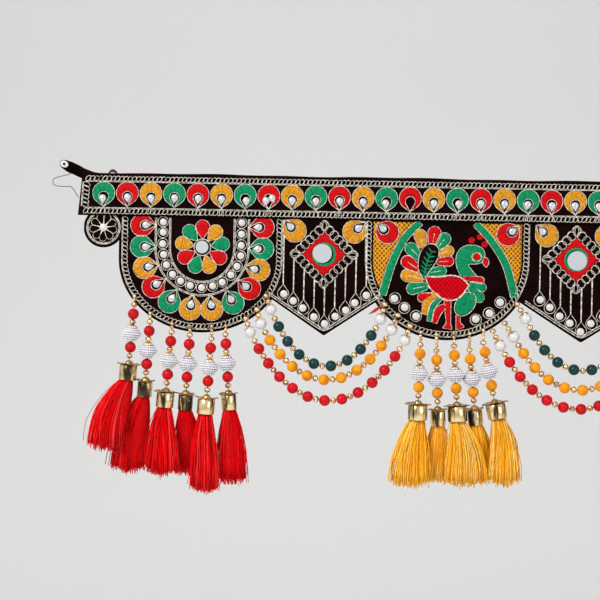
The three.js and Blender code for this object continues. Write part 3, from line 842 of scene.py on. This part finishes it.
def dome(kind, ground, edge, height, lift=0.2, flat_top=0.0):
    """A closed domed stone over an outline."""
    centre = edge.mean(0)
    a = np.linspace(0, math.pi / 2, 7)[:-1]
    share = np.concatenate([[1], flat_top + (1 - flat_top) * np.cos(a)])
    up = np.concatenate([[-lift - 0.2], height * np.sin(a)]) + lift
    points = lay(ground, centre + (edge - centre)[None] * share[:, None, None], up[:, None]).reshape(-1, 3)
    poles = lay(ground, centre, np.array([-0.2, lift + height]))
    count, size = len(edge), len(points)
    tris = cap_faces(count, size, size + 1, size - count)
    STONES[kind].add(np.concatenate([points, poles]), grid_faces(len(share), count, wrap=True), tris)


def round_stone(centre, radius=3.7, ring=True, jitter=0.4):
    place_at = np.asarray(centre, float) + rng.uniform(-jitter, jitter, 2)
    dome("round", "flap", ellipse(place_at, radius, radius, 20), 1.5, 0.5, 0.25)
    if ring:
        outline(ellipse(centre, radius + 1.6, radius + 1.6, 28))


def crescent(
    ground, centre, heading, radius, reach, colour, stone=True, shift=(0, 0), inner=0.45, back=0.3, base=0.25,
):
    """A satin teardrop with a smaller teardrop left open for its silver stone."""
    way = towards(heading)
    hole_centre = np.asarray(centre, float) + way * radius * back
    outer = teardrop(centre, heading, radius, reach)
    hole = teardrop(hole_centre, heading, radius * inner, reach - radius * back - 0.3)
    fill(ground, outer, hole, "satin_" + colour, base=base)
    for line in (outer, hole):
        cord(ground, line, OUTLINE_R, base + 0.25, loop=True)
    if stone:
        at = hole_centre + way * 0.8 + np.asarray(shift, float) + rng.uniform(-0.4, 0.4, 2)
        dome("drop", ground, teardrop(at, heading + rng.uniform(-9, 9), 3.7, 6, 36), 2.1, 0.5)


def band_embroidery():
    inset = BAND_HALF - 8
    top, low = BAND_CHAIN_DROPS
    chain("band", [(-inset, top), (inset, top)], 5.7)
    chain("band", [(-inset - 2, low), (inset + 2, low)], 6.2, edges=(-1,))
    for side in (-1, 1):
        ends = [(side * (inset - 0.6), top + 4), (side * (inset + 0.8), low - 4)]
        chain("band", ends, 7.4, edges=(-side,))
    for k in range(CRESCENT["count"]):
        x, drop = CRESCENT["first"] + CRESCENT["pitch"] * k, CRESCENT["drop"] + rng.uniform(-0.3, 0.3)
        colour = ("green", "red", "yellow")[k % 3]
        shift = SHIFTED_STONES.get(k, (0, 0))
        radius, reach = CRESCENT["r"], CRESCENT["reach"]
        crescent("band", (x, drop), 90, radius, reach, colour, k != MISSING_STONE, shift)
        tip = np.array([x, drop + reach])
        for side in (-1, 1):
            carried = [tip - (side * 2, 2), tip + (side * 1.6, 2.6), tip + (side * rng.uniform(1.6, 4), 7.4)]
            cord("band", smooth_curve(carried, 12), OUTLINE_R, 1.3)
    # A second stone that has slipped into its neighbour's place
    slipped = (CRESCENT["first"] + 7 * CRESCENT["pitch"] + 3.4, CRESCENT["drop"] + 2.2)
    dome("drop", "band", teardrop(slipped, 70, 3.5, 6, 36), 2.2, 0.7)


def end_tab(tab):
    """A wheel of cord loops round a stone."""
    centre = np.array([tab["x"], tab["drop"]])
    for radius in (16.7, 15.5):
        cord("flap", ellipse(centre, radius, radius, 60), 0.4, loop=True)
    for a in np.arange(9) * 40 + 12:
        outline(teardrop(centre + towards(a) * 10.2, a + 180, 3.6, 8.6), 0.26)
    dome("round", "flap", ellipse(centre, 4, 4, 20), 1.2, 0.4)


def scallop_border(s):
    route = u_route(s["x"], s["half"] - CHAIN_INSET, s["side_drop"], s["drop"] - CHAIN_INSET, FLAP_TOP)
    chain("flap", route)


def flower_scallop(s):
    x = s["x"]
    scallop_border(s)
    for half, bottom in ((46, 120.6), (31.7, 107.2)):
        line = resample(u_route(x, half, 74, bottom, FLAP_TOP), 180)
        cord("flap", line, 0.42)
        cord("flap", line + 1.3 * sideways(line)[0])
    for centre in resample(u_route(x, 39.4, 74, 113.4, 48), 17):
        round_stone(centre, 3.6)
    for (u, drop, heading), colour in zip(SCALLOP_CRESCENTS, ("red", "green", "yellow") * 2):
        crescent("flap", (x - u, drop), heading, 11.2, 14.6, colour)
        crescent("flap", (x + u, drop), 180 - heading, 11.2, 14.6, colour)
    flower(np.array([x + 0.3, 73]))


def flower(centre):
    for k in range(9):
        a = -90 + 40 * k
        edge = teardrop(centre + towards(a) * 20.2, a + 180, 7.3, 12.2, 49)
        fill("flap", edge[:25], edge[24:][::-1], "satin_" + ("red", "yellow", "green")[k % 3], 0.9)
        outline(edge)
    outline(ellipse(centre, 8.3, 8.3, 50), 0.45, 0.9)


def ringed_diamond(centre):
    """A red rhombus in a frame of rings, with a longer ring in each corner."""
    hole = ellipse(centre, 12, 12, 80)
    fill_ring(diamond(centre, 21.8, 22.4), hole, "satin_red", 0.5)
    fill_ring(hole, ellipse(centre, 9.2, 9.2, 80), "satin_green", 0.35)
    outer = resample(closed(diamond(centre, RHOMBUS - 1, RHOMBUS - 1)), 289)[:-1]
    waves = abs(np.sin(math.pi * 28 * np.arange(288) / 288))[:, None]
    cord("flap", outer - 1.3 * waves * sideways(outer)[0], OUTLINE_R, loop=True, step=0.7)
    corners = np.asarray(centre) + RHOMBUS * 0.83 * np.array([(1, 0), (0, 1), (-1, 0), (0, -1)])
    for corner, after, tilt in zip(corners, np.roll(corners, -1, 0), (0, 90, 0, 90)):
        way = unit(after - corner)
        chain("flap", [corner + 4 * way, after - 4 * way], 9.6, 6.3, (), 0.66, 0)
        for long, wide in ((5.4, 3.6), (4, 2)):
            outline(ellipse(corner, long, wide, 26, tilt))


def pointed_flap(p):
    centre = p["motif"]
    ringed_diamond(centre)
    for k in range(-4, 5):
        out = POINT_STONES["pitch"] * k
        x = p["x"] + out
        stone_drop = p["drop"] - POINT_STONES["above_tip"] - POINT_STONES["slope"] * abs(out)
        outline(teardrop((x, stone_drop), -90, 5.6, 9.4))
        round_stone((x, stone_drop), 3.8, ring=False, jitter=0.9)
        start = centre[1] + RHOMBUS - abs(x - centre[0]) if abs(k) < 4 else FLAP_TOP
        for shift in (-0.38, 0.38):
            cord("flap", [(x + shift, start), (x + shift * 0.6, stone_drop - 9.2)], 0.34, step=2)
    for side in (-1, 1):
        place_at = (centre[0] + side * 29.8, CORNER_DROP)
        crescent("flap", place_at, -90 + side * 48, 11.6, 15, "yellow", inner=0.44, back=0.42)
    x = np.linspace(p["x"] - 56, p["x"] + 56, 60)
    for inset in (3.6, 5.4):
        drop = p["drop"] - inset * 1.25 - p["slope"] * np.sqrt((x - p["x"]) ** 2 + 9) + 1.5
        cord("flap", np.stack([x, drop], 1), 0.42, step=1.6)


def petal(root, end, width, colour, vein=True):
    """A satin petal from root to its rounded end, a little narrower at the root."""
    root, end = np.asarray(root, float), np.asarray(end, float)
    length = np.linalg.norm(end - root) + width / 2
    way = unit(end - root)
    t = 1 - np.linspace(1, 0, 26) ** 2
    round_from = 1 - width / 2 / length
    narrow = 0.5 + 0.5 * np.clip(t / round_from, 0, 1) ** 0.6
    rounded = np.sqrt(np.maximum(0.002, 1 - (np.maximum(t - round_from, 0) / (1 - round_from)) ** 2))
    half = (width / 2 * np.where(t < round_from, narrow, rounded))[:, None] * np.array([-way[1], way[0]])
    line = root + way * length * t[:, None]
    fill_between(line + half, line - half, "satin_" + colour, 0.7, 4)
    if vein:
        cord("flap", [root + way * length * 0.12, end - way * 0.6], 0.32, 1.2)


def ribbon(knots, widths, colour):
    """A satin band along a curve, with a width for each knot."""
    fill_between(*ribbon_edges(knots, widths), "satin_" + colour)


def ribbon_edges(knots, widths):
    line = smooth_curve(knots, 60)
    wide = np.interp(np.linspace(0, 1, 60), np.linspace(0, 1, len(widths)), widths)[:, None] / 2
    half = sideways(line)[0] * wide
    return line + half, line - half


def frond(knots, widths):
    fill("flap", *ribbon_edges(knots, widths), "satin_green", 0.5, base=1.2)


def bird_scallop(s):
    x = s["x"]
    scallop_border(s)
    inner_half, inner_bottom = s["half"] - CHAIN_INSET - 4.6, s["drop"] - CHAIN_INSET - 4.6
    for side, low_end in ((-1, 64.5), (1, 68.4)):
        arch = [(27.8, FLAP_TOP), (43, 60), (low_end - 9.4, 85), (low_end, 117)]
        arch = [(x + side * u, drop) for u, drop in arch]
        line = smooth_curve(arch, 60)
        ribbon(arch, [7, 7.2, 7.6, 8], "green")
        drops = line[:, 1]
        share = np.clip((drops - s["side_drop"]) / (inner_bottom - s["side_drop"]), 0, 1)
        outer = np.stack([x + side * inner_half * np.sqrt(1 - share**2), drops], 1)
        inner = line + np.array([side * 4.4, 0])
        wide_enough = (outer[:, 0] - inner[:, 0]) * side > 0.6
        fill("flap", outer[wide_enough], inner[wide_enough], "net_yellow", 0.25, 6)
        corner = (x + side * 60.4, CORNER_DROP)
        fill_ring(ellipse(corner, 11, 11), ellipse(corner, 0.2, 0.2), "velvet_patch", 0.1, 2, 0.62)
        crescent("flap", corner, -90 + side * 55, 11.4, 14.2, "red", inner=0.46, back=0.42, base=0.7)
        for u, drop in BIRD_STONES[side]:
            round_stone((x + side * u, drop), 4, jitter=0.7)
    bird(x)


def bird(x):
    """A peacock in the common festive style, facing right."""

    def at(*points):
        return [(x + u, drop) for u, drop in points]

    # Tail: a dark leaf shape with a fern in it, ringed by petals
    tail = smooth_curve(at(
        (-23, 102), (-28.8, 90.7), (-28, 76.7), (-22.7, 67.6), (-14.8, 65.2), (-9.2, 69.3), (-8.6, 76.3),
        (-12.4, 85.4), (-19.6, 96), (-23, 102),
    ), 70)
    for root, end, width, colour in TAIL_PETALS:
        petal(*at(root, end), width, colour)
    fill("flap", tail, np.broadcast_to(at((-19, 80)), tail.shape), "velvet_patch", 0.2, 4, 0.9)
    outline(tail, 0.42, 1.3)
    spine = smooth_curve(at((-22.6, 99), (-20.8, 86), (-14, 68.5)), 30)
    for k in range(7):
        root = spine[1 + 4 * k]
        ahead = spine[3 + 4 * k] - root
        for turned_by in (-54, 62):
            way = towards(math.degrees(math.atan2(ahead[1], ahead[0])) + turned_by)
            tip = root + (4.6 + 2 * math.sin(k / 2)) * way
            frond([root, (root + tip) / 2, tip], [0.9, 1.5, 0.7])
    frond(spine[::6], [1.5, 1.3, 0.9])
    # Under the tail: three long feathers that sweep down, and one short petal
    petal(*at((-14.5, 116.4), (-24.6, 119.4)), 9, "red", False)
    ribbon(at((-7, 114.5), (-18, 120.6), (-22, 136)), [4, 9.8, 6], "yellow")
    ribbon(at((-4.6, 119.4), (-13.6, 128), (-17, 143)), [3, 6.8, 4.6], "green")
    ribbon(at((-0.8, 127), (-8, 132.6), (-11.6, 144.4)), [5, 8.8, 5], "red")
    # Body
    back = smooth_curve(at((-22, 98), (-8, 98.5), (4, 96.5), (14.6, 98.8), (22.4, 106)), 40)
    belly = smooth_curve(at((-22, 98), (-16, 110.5), (-0.5, 121.4), (13.5, 118.4), (22.4, 106)), 40)
    fill("flap", back, belly, "net_red", 1.3, 8)
    outline(np.concatenate([back, belly[::-1]]), 0.75, 0.9)
    # Neck and head
    nape = at((27.5, 65.6), (18, 66.4), (11.2, 71.6), (8.8, 79.5), (9.8, 88), (13.6, 97))
    throat = at(
        (27.5, 65.6), (34.6, 68.4), (37.8, 74.8), (35.6, 82.4), (28, 84.8), (21.6, 85.2),
        (25.4, 91.4), (30.6, 97),
    )
    fill_between(smooth_curve(nape, 44), smooth_curve(throat, 44), "satin_green", 1.0, 8)
    eye = (x + 29.4, 77.6)
    fill_ring(ellipse(eye, 3.6, 3.4), ellipse(eye, 0.2, 0.2), "satin_red", 0.6, base=1.4)
    outline(ellipse(eye, 4.7, 4.4, 34), 0.5, 1.5)
    beak_top = smooth_curve(at((37, 77), (41.2, 79.6), (41.8, 83.6), (39.6, 88)), 20)
    fill_between(beak_top, smooth_curve(at((35.4, 82.2), (36.6, 85.6), (39.6, 88)), 20), "satin_red", 0.9)
    # Breast and wing lobes
    petal(*at((17, 98.8), (34, 100.8)), 7.2, "red", False)
    petal(*at((23, 104.5), (35.4, 108)), 9, "green", False)
    petal(*at((23, 107), (33, 118)), 10.4, "green", False)
    wing = (x + 19, 125)
    lobe = ellipse(wing, 13.4, 9.2, 50, -54)
    fill_ring(lobe, ellipse(wing, 0.6, 0.4, 50), "satin_green", 0.9, 6)
    outline(lobe, 0.36, 1.05)
    # Legs and feet
    ribbon(at((1.2, 119.5), (1.8, 133), (2.4, 144), (1.6, 150)), [7.4, 6, 4.6, 10], "red")
    ribbon(at((12, 136.4), (12.2, 140), (12.2, 144), (14.4, 149.6)), [4.6, 4.2, 4.4, 9.4], "red")
    # Crest
    for dot in at((24.3, 61), (32.6, 57.4), (37.4, 64.8)):
        fill_ring(ellipse(dot, 3.2, 3.2, 30), ellipse(dot, 0.2, 0.2, 30), "satin_red", 1.0)


def embroidery():
    band_embroidery()
    for tab in TABS:
        end_tab(tab)
    flower_scallop(SCALLOPS[0])
    flower_scallop(SCALLOPS[2])
    bird_scallop(SCALLOPS[1])
    for p in POINTS:
        pointed_flap(p)
    for name, shapes in ZARI.items():
        shapes.build("zari_" + name, "zari")
    slots = {"net_yellow": "satin_yellow", "net_red": "satin_red", "velvet_patch": "velvet"}
    for name, shapes in FILLS.items():
        shapes.build("stitched_" + name, "velvet" if name == "velvet_patch" else name, slots.get(name, name))
    STONES["round"].build("stones_round", "stone")
    STONES["drop"].build("stones_drop", "kundan", "stone")


# Mirrors
def mirror(name, x, drop, radius):
    across = (sway(x + radius, drop) - sway(x - radius, drop)) / (2 * radius)
    down = (sway(x, drop + radius) - sway(x, drop - radius)) / (2 * radius)
    axis = unit(np.array([across, -1, -down]))
    profile = [
        (0, -0.6), (radius - 0.3, -0.6), (radius, -0.45),
        (radius, 0.35), (radius - 0.25, 0.6), (0, 0.6),
    ]
    shapes = Shapes()
    place(shapes, turned(profile, 48), lay("flap", (x, drop), 1.05), axis)
    shapes.build(name + "_glass", "mirror", "mirror_glass", name, smooth=False)


def mirrors():
    for s, name in ((SCALLOPS[0], "left"), (SCALLOPS[2], "right")):
        mirror("mirror_scallop_" + name, s["x"], 72.7, 6.4)
    for p in POINTS:
        mirror("mirror_point_" + p["name"], *p["mirror"], p["mirror_r"])


# Beads
SHARED = {name: Shapes() for name in ("gold_beads", "filigree", "brass", "rice_pearl", "pearl", "thread")}


def rosette(radius, petals=9, deep=0.0):
    """A thin stamped metal flower with a cut edge that rises and falls. deep bends it into a cup."""
    share = np.array([0, 0.3, 0.6, 0.85, 1, 1, 0.85, 0.6, 0.3, 0])
    lift = deep * share**2 + np.array([0, 0, 0, 0.2, 0.6, 1.2, 0.9, 0.7, 0.7, 0.7])
    points, quads, tris = turned(np.stack([radius * share, lift], 1), petals * 4, petals, 0.3)
    turn = np.arctan2(points[:, 1], points[:, 0])
    rim = np.clip(np.linalg.norm(points[:, :2], axis=1) / radius, 0, 1) ** 2
    points[:, 2] += rim * (0.5 * np.sin(petals * turn) + 0.07 * radius * np.sin(2 * turn + 1))
    return points, quads, tris


def drilled(radius, sides=20):
    """A round bead, flattened a little where the thread enters."""
    t = np.linspace(0.22, math.pi - 0.22, 11)
    body = [(radius * math.sin(a), -radius * math.cos(a)) for a in t]
    end = radius * math.cos(0.3)
    return turned([(0, -end)] + body + [(0, end)], sides)


BALLS = {
    "seed": ball(SEED_R, 12, 6), "gold": ball(1.08 * GOLD_R, 16, 8, 0.85),
    "garland_gold": ball(GARLAND_GOLD_R, 16, 8, 0.87), "round": drilled(ROUND_R),
    "pearl": ball(PEARL_R, 24, 14, 0.93), "grain": ball(1.2, 6, 3, 1.1),
}


def gold_bead(kind, centre, axis, turn=0.0, scale=1.0):
    place(SHARED["gold_beads"], BALLS[kind], centre, axis, turn, scale=scale)


def any_turn():
    return rng.uniform(0, TAU)


def pearl_cluster(centre, axis, turn):
    """Rows of rice pearls on a barrel-shaped core."""
    shapes = SHARED["rice_pearl"]
    t = np.linspace(0, math.pi, 9)
    place(shapes, turned(np.stack([7.5 * np.sin(t), -6.6 * np.cos(t)], 1), 14), centre, axis)
    rotation = np.array(Vector((0, 0, 1)).rotation_difference(Vector(axis)).to_matrix())
    for j, z in enumerate(np.linspace(-6.4, 6.4, 7)):
        r = 8.6 * (1 - 0.52 * (abs(z) / 6.4) ** 1.35)
        count = round(TAU * r / 2.2)
        for k in range(count):
            a = TAU * (k + 0.5 * (j % 2)) / count + turn
            c, s = math.cos(a), math.sin(a)
            at = rotation @ np.array([r * c, r * s, z]) + centre
            place(shapes, BALLS["grain"], at, rotation @ np.array([-s, c, 0]))


def brass_cap(centre_top, axis, cap, turn, tone):
    r, height = cap["r"], STEPS["cap_bottom"] - STEPS["cap_top"]
    profile = [
        (0, -0.4), (2, -0.3), (r - 0.7, 0), (r, 0.9), (r * 1.005, height * 0.5), (r, height - 0.3),
        (r - 0.2, height), (r - CAP_WALL, height), (r - CAP_WALL, 1.5), (0, 1.4),
    ]
    place(SHARED["brass"], turned(profile, 32), centre_top, axis, tone=tone)
    place(SHARED["filigree"], rosette(cap["rim"], 11), centre_top - axis * 0.2, -axis, turn)
    t = np.linspace(0.35, math.pi / 2, 6)
    crown = [(0, -4.1)] + [(4.4 * math.sin(a), -4.3 * math.cos(a)) for a in t] + [(0, 0.1)]
    place(SHARED["filigree"], turned(crown, 24, 8, 0.1), centre_top - axis * 0.6, axis, turn)


def string_line(row, scallop, side):
    """The top bead, the uppermost gold bead and the cap's lower end, with the line's direction."""
    x = scallop["x"] + side * row["x"]
    drop = float(edge_drop(x)) + row["hang"]
    front = FRONT_Y["flap"] + float(sway(x, drop))
    z = BAND_TOP_Z - drop
    run = GOLD_R + SEED_R + (row["seeds"] - 1) * SEED_PITCH
    top = np.array([x, front - SEED_R - GAP, z + run])
    first = np.array([x, front - GOLD_R - GAP, z])
    cap = np.array([x + side * row["lean"], LAYERS[row["layer"]]["cap_y"], z - STEPS["cap_bottom"]])
    return top, first, cap, unit(cap - first)


def hanging_string(group, index, row):
    top, first, cap, axis = string_line(row, SCALLOPS[group["scallop"]], group["side"])
    seeds_axis = unit(first - top)
    for k in range(row["seeds"]):
        gold_bead("seed", top + seeds_axis * SEED_PITCH * k, seeds_axis, any_turn())
    for step in (0, STEPS["gold2"], STEPS["gold3"]):
        gold_bead("gold", first + axis * step, axis, any_turn())
    cup, saucer = rosette(CUP_R, 8, 2.6), rosette(CUP_R - 0.8, 8, 2.2)
    place(SHARED["gold_beads"], cup, first + axis * (STEPS["cup"] - 0.8), axis, any_turn())
    place(SHARED["gold_beads"], saucer, first + axis * (STEPS["round2"] - 5.4), -axis, any_turn())
    pearl_cluster(first + axis * STEPS["cluster"], axis, any_turn())
    stretch = np.linalg.norm(cap - first) / STEPS["cap_bottom"]
    cap_top = cap - axis * (STEPS["cap_bottom"] - STEPS["cap_top"])
    # The cap's tone is lower in the back layer: painted shade.
    size, tone = CAPS[group["colour"]][row["layer"]], LAYERS[row["layer"]]["cap_tone"]
    brass_cap(cap_top, axis, size, any_turn(), tone)
    tubes(SHARED["thread"], resample([top, first, cap - axis * 16], 12), THREAD_R, 5)
    beads = Shapes()
    for step in (STEPS["round1"], STEPS["round2"]):
        place(beads, BALLS["round"], first + axis * step * stretch, axis, any_turn())
    name = f"string_{group['name']}_{index}"
    beads.build(name + "_beads", group["colour"] + "_beads", node=name)
    return cap, axis


def tassel(group, index, row, cap, axis):
    """Silk threads from inside the brass cap, fanned out and trimmed unevenly."""
    local = np.random.default_rng(100 * group["scallop"] + index)
    layer, length, n = LAYERS[row["layer"]], row["length"], TASSEL_STRANDS
    angle, share = local.uniform(0, TAU, n), np.sqrt(local.uniform(0, 1, n))
    disc = np.stack([share * np.cos(angle), share * np.sin(angle)], 1)
    root = cap - axis * 2 + np.column_stack([disc * layer["root"], np.zeros(n)])
    swing = group["side"] * row["swing"]
    spread_x, spread_y = row["fan"] + 3, 4.8
    stray = local.uniform(0, 1, n) > 0.96
    wide = np.where(stray, local.uniform(1.1, 1.45, n), 1.0)
    lock = np.floor(angle / TAU * 16) + 16 * np.floor(share * 2.2)
    lock_x, lock_z, lock_tone = (local.normal(0, 1, 64)[lock.astype(int)] for _ in range(3))
    tip = np.column_stack([
        cap[0] + swing + disc[:, 0] * spread_x * wide + lock_x * 0.7,
        layer["tip_y"] + disc[:, 1] * spread_y,
        cap[2] - length * (1 - 0.07 * disc[:, 0] ** 2) - local.normal(0, 1.7, n) - lock_z * 1.5 + 1.4,
    ])
    out = np.array([swing, 0, 0]) * 0.45
    t = np.linspace(0, 1, 9)[None, :, None]
    first = root + axis * length * 0.24 + (tip - root) * np.array([0.5, 0.4, 0]) + out * 0.1
    second = tip + np.array([0, 0, length * 0.42])
    second = second - np.column_stack([disc[:, 0] * 1.6, disc[:, 1], np.zeros(n)])
    path = (
        (1 - t) ** 3 * root[:, None] + 3 * t * (1 - t) ** 2 * first[:, None]
        + 3 * t**2 * (1 - t) * second[:, None] + t**3 * tip[:, None]
    )
    phase = local.uniform(0, TAU, (n, 1))
    size = local.uniform(0.2, 0.9, (n, 1)) * np.where(local.uniform(0, 1, (n, 1)) > 0.75, 2.2, 1)
    wave = size * t[..., 0] ** 0.7 * np.sin(t[..., 0] * local.uniform(5, 12, (n, 1)) + phase)
    path[..., 0] += wave
    path[..., 1] += 0.5 * np.roll(wave, 3, 0)
    # The layer's tone is lower for the back tassels, as painted shade; the locks' and threads' tones differ
    # at random.
    tone = np.clip(layer["tone"] + 0.11 * lock_tone + local.normal(0, 0.16, n), 0.05, 0.95)
    shapes = Shapes()
    radii = STRAND_R * local.uniform(0.8, 1.25, (n, 1))
    tubes(shapes, path, radii, 3, tone=np.where(stray, 0.12, tone))
    tassel_core(shapes, cap, length, swing, (spread_x * 0.84, spread_y * 0.6), layer)
    name = f"tassel_{group['name']}_{index}"
    shapes.build(name + "_silk", group["colour"] + "_silk", node=name)


def tassel_core(shapes, cap, length, swing, spread, layer):
    """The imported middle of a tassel, which the outer threads cover."""
    rows, sides = 9, 18
    t = np.linspace(0, 1, rows)
    angle = TAU * np.arange(sides) / sides
    top = layer["root"] * 0.8
    wide, deep = (top + (reach - top) * t**0.8 for reach in spread)
    middle = np.stack([
        cap[0] + swing * (0.55 * t + 0.45 * t**2), cap[1] + (layer["tip_y"] - cap[1]) * t,
        cap[2] + 1.5 - (length * 0.93 + 1.5) * t,
    ], 1)
    ridge = 1 + 0.05 * np.cos(9 * angle)
    points = np.repeat(middle[:, None], sides, 1)
    points[..., 0] += wide[:, None] * ridge * np.cos(angle)
    points[..., 1] += deep[:, None] * ridge * np.sin(angle)
    count = rows * sides
    tris = cap_faces(sides, count, count + 1, count - sides)
    # The core's low tone paints it dark: painted shade deep among the threads.
    shapes.add(
        np.concatenate([points.reshape(-1, 3), middle[[0, -1]]]), grid_faces(rows, sides, wrap=True),
        tris, 0.16,
    )


def catenary(a, b, length, steps):
    """A chain of that length hung between two points, in the plane of the wall."""
    span, rise = b[0] - a[0], b[2] - a[2]
    level = math.sqrt(length**2 - rise**2)
    low, high = span / 40, span * 10
    for _ in range(60):
        size = (low + high) / 2
        if 2 * size * math.sinh(span / (2 * size)) > level:
            low = size
        else:
            high = size
    size = (low + high) / 2
    middle = span / 2 - size * math.asinh(rise / (2 * size * math.sinh(span / (2 * size))))
    base = a[2] - size * math.cosh(-middle / size)
    x = np.linspace(0, span, steps + 1)
    return np.stack([a[0] + x, np.zeros(steps + 1), base + size * np.cosh((x - middle) / size)], 1)


def garland(row):
    start, end = (lay("flap", row[k], GOLD_R + GAP) for k in ("start", "end"))
    pearl_a, pearl_b = (lay("flap", row[k], PEARL_R + GAP) for k in ("pearl_a", "pearl_b"))
    hung = catenary(pearl_a, pearl_b, 2 * GARLAND_END + 2 * row["beads"] * row["pitch"], 96)
    t = np.linspace(0, 1, len(hung))
    hung[:, 1] = pearl_a[1] + (pearl_b[1] - pearl_a[1]) * t + GARLAND_LOW * 4 * t * (1 - t)
    at = lengths_along(hung)
    tangent = unit(np.gradient(hung, axis=0))
    pitch = (at[-1] - 2 * GARLAND_END) / (2 * row["beads"])
    beads = Shapes()
    for k in range(2 * row["beads"] + 1):
        s = GARLAND_END + k * pitch
        shapes, shape = (beads, "round") if k % 2 else (SHARED["gold_beads"], "garland_gold")
        place(shapes, BALLS[shape], point_at(s, at, hung), unit(point_at(s, at, tangent)), any_turn())
    for anchor, pearl in ((start, pearl_a), (end, pearl_b)):
        axis = unit(pearl - anchor)
        gold_bead("gold", anchor, axis)
        gold_bead("gold", anchor + (pearl - anchor) * 0.41, axis, scale=0.95)
        cup_at = anchor + (pearl - anchor) * 0.6
        place(SHARED["gold_beads"], rosette(CUP_R - 0.2, 7, 2.2), cup_at, axis, rng.uniform(0, 6))
        place(SHARED["pearl"], BALLS["pearl"], pearl, axis, rng.uniform(0, 6))
    tubes(SHARED["thread"], resample(np.concatenate([[start], hung, [end]]), 80), THREAD_R, 5)
    name = "garland_" + row["name"]
    beads.build(name + "_beads", row["name"].split("_")[1] + "_beads", node=name)


def hangings():
    for group in STRING_GROUPS:
        for index, row in enumerate(STRINGS[group["colour"]], 1):
            tassel(group, index, row, *hanging_string(group, index, row))
    for row in GARLANDS:
        garland(row)
    slots = {"filigree": "gold_beads", "rice_pearl": "pearl", "thread": "loose_thread"}
    for name, shapes in SHARED.items():
        shapes.build("all_" + name, "loose_thread" if name == "thread" else name, slots.get(name, name))


def loose_threads():
    """A thread that has pulled out by the pipe's end, a tuft of nap and a scrap of red thread."""
    pulled = [
        (-385.2, 0.9), (-389.9, 2.8), (-402.4, 6.4), (-404.7, 10.7), (-401.6, 14), (-391.3, 14.9),
        (-385.8, 15.3), (-378.6, 25.5),
    ]
    tuft = [(-349.6, 1.6), (-347.4, -0.8), (-345.6, -1.9), (-343.6, -1.7), (-341.6, -0.4), (-339, 1.8)]
    tuft_radius = 0.4 + 1.2 * np.sin(np.linspace(0, math.pi, 60))
    threads = Shapes()
    for route, radius in ((pulled, 0.36), (tuft, tuft_radius)):
        line = smooth_curve([(x, -5.6, BAND_TOP_Z - drop) for x, drop in route], 60)
        tubes(threads, line, radius, 4)
    threads.build("pulled_threads", "loose_thread")
    scrap = Shapes()
    for k in range(9):
        fray = 0.22 * (k - 4)
        line = [
            (-84.6 + 1.4 * fray, -7.4, -130.8 + fray), (-79, -8.2, -127.6 + 1.7 * fray),
            (-73.8, -7.4, -123.8 + fray),
        ]
        tubes(scrap, smooth_curve(line, 12), 0.4, 4)
    scrap.build("red_scrap", "red_scrap", "loose_thread")


# Camera, lights and backdrop
CAMERA = dict(place=(-0.1519, -1.2, -0.1124), yaw=-0.140, pitch=-0.317, roll=1.085, lens=71.5)


def put(name, data, place_at, turn):
    made = linked(name, data)
    made.location = place_at
    made.rotation_mode = "QUATERNION"
    made.rotation_quaternion = turn
    return made


def camera():
    data = bpy.data.cameras.new("camera")
    data.lens = CAMERA["lens"]
    yaw, pitch, roll = (math.radians(CAMERA[k]) for k in ("yaw", "pitch", "roll"))
    ahead = Vector((math.sin(yaw) * math.cos(pitch), math.cos(yaw) * math.cos(pitch), math.sin(pitch)))
    turn = ahead.to_track_quat("-Z", "Y") @ Quaternion((0, 0, 1), roll)
    bpy.context.scene.camera = put("camera", data, CAMERA["place"], turn)


def area_light(name, place_at, aim, size, power, colour=(1, 1, 1)):
    data = bpy.data.lights.new(name, "AREA")
    data.shape = "SQUARE"
    data.size = size
    data.energy = power
    data.color = colour
    put(name, data, place_at, (Vector(aim) - Vector(place_at)).to_track_quat("-Z", "Y"))


def studio():
    """A pale floor that curves up into a far backdrop, soft light from the front left and above."""
    floor_z, back_y, front_y, bend, half = -0.9, 3.4, -4.5, 1.6, 6
    profile = [(front_y, floor_z), (back_y - bend, floor_z)]
    profile += [
        (back_y - bend + bend * math.sin(a), floor_z + bend - bend * math.cos(a))
        for a in np.linspace(0.1, math.pi / 2, 16)
    ]
    profile.append((back_y, 5))
    points = [(x, y, z) for x in (-half, half) for y, z in profile]
    count = len(profile)
    faces = [(i, i + 1, i + 1 + count, i + count) for i in range(count - 1)]
    mesh = bpy.data.meshes.new("backdrop")
    mesh.from_pydata(points, [], faces)
    mesh.polygons.foreach_set("use_smooth", [True] * len(faces))
    mesh.materials.append(new_material("backdrop", (0.79, 0.79, 0.785), 0.9))
    linked("backdrop", mesh)
    world = bpy.data.worlds.new("studio")
    bpy.context.scene.world = world
    world.use_nodes = True
    ground = world.node_tree.nodes["Background"]
    generated = node(world, "ShaderNodeTexCoord").outputs["Generated"]
    way = node(world, "ShaderNodeSeparateXYZ", {"Vector": generated})
    upwards = maths(world, "MULTIPLY", way.outputs["Z"], 0.3)
    leftwards = maths(world, "MULTIPLY", way.outputs["X"], -0.2)
    value = maths(world, "ADD", maths(world, "ADD", upwards, leftwards), 0.45)
    tints = [(0.2, (0.24, 0.23, 0.23), 1), (0.45, (0.7, 0.7, 0.72), 1), (0.66, (1, 1, 1), 1)]
    world.node_tree.links.new(ramp(world, value, tints), ground.inputs["Color"])
    ground.inputs["Strength"].default_value = 0.8
    area_light("key", (-1.2, -1.5, 1.1), (-0.1, 0, -0.15), 0.9, 40, (1, 0.98, 0.95))
    area_light("fill", (1.5, -1.9, 0.2), (0, 0, -0.15), 1.2, 14)
    area_light("backdrop_light", (0, 1.2, 3.2), (0, 3.2, -0.3), 2.5, 12)
    view = bpy.context.scene.view_settings
    view.view_transform = "Standard"
    view.look = "None"


camera()
studio()
pipe()
heading_band()
flap_cloth()
embroidery()
mirrors()
hangings()
loose_threads()

bpy.context.view_layer.update()
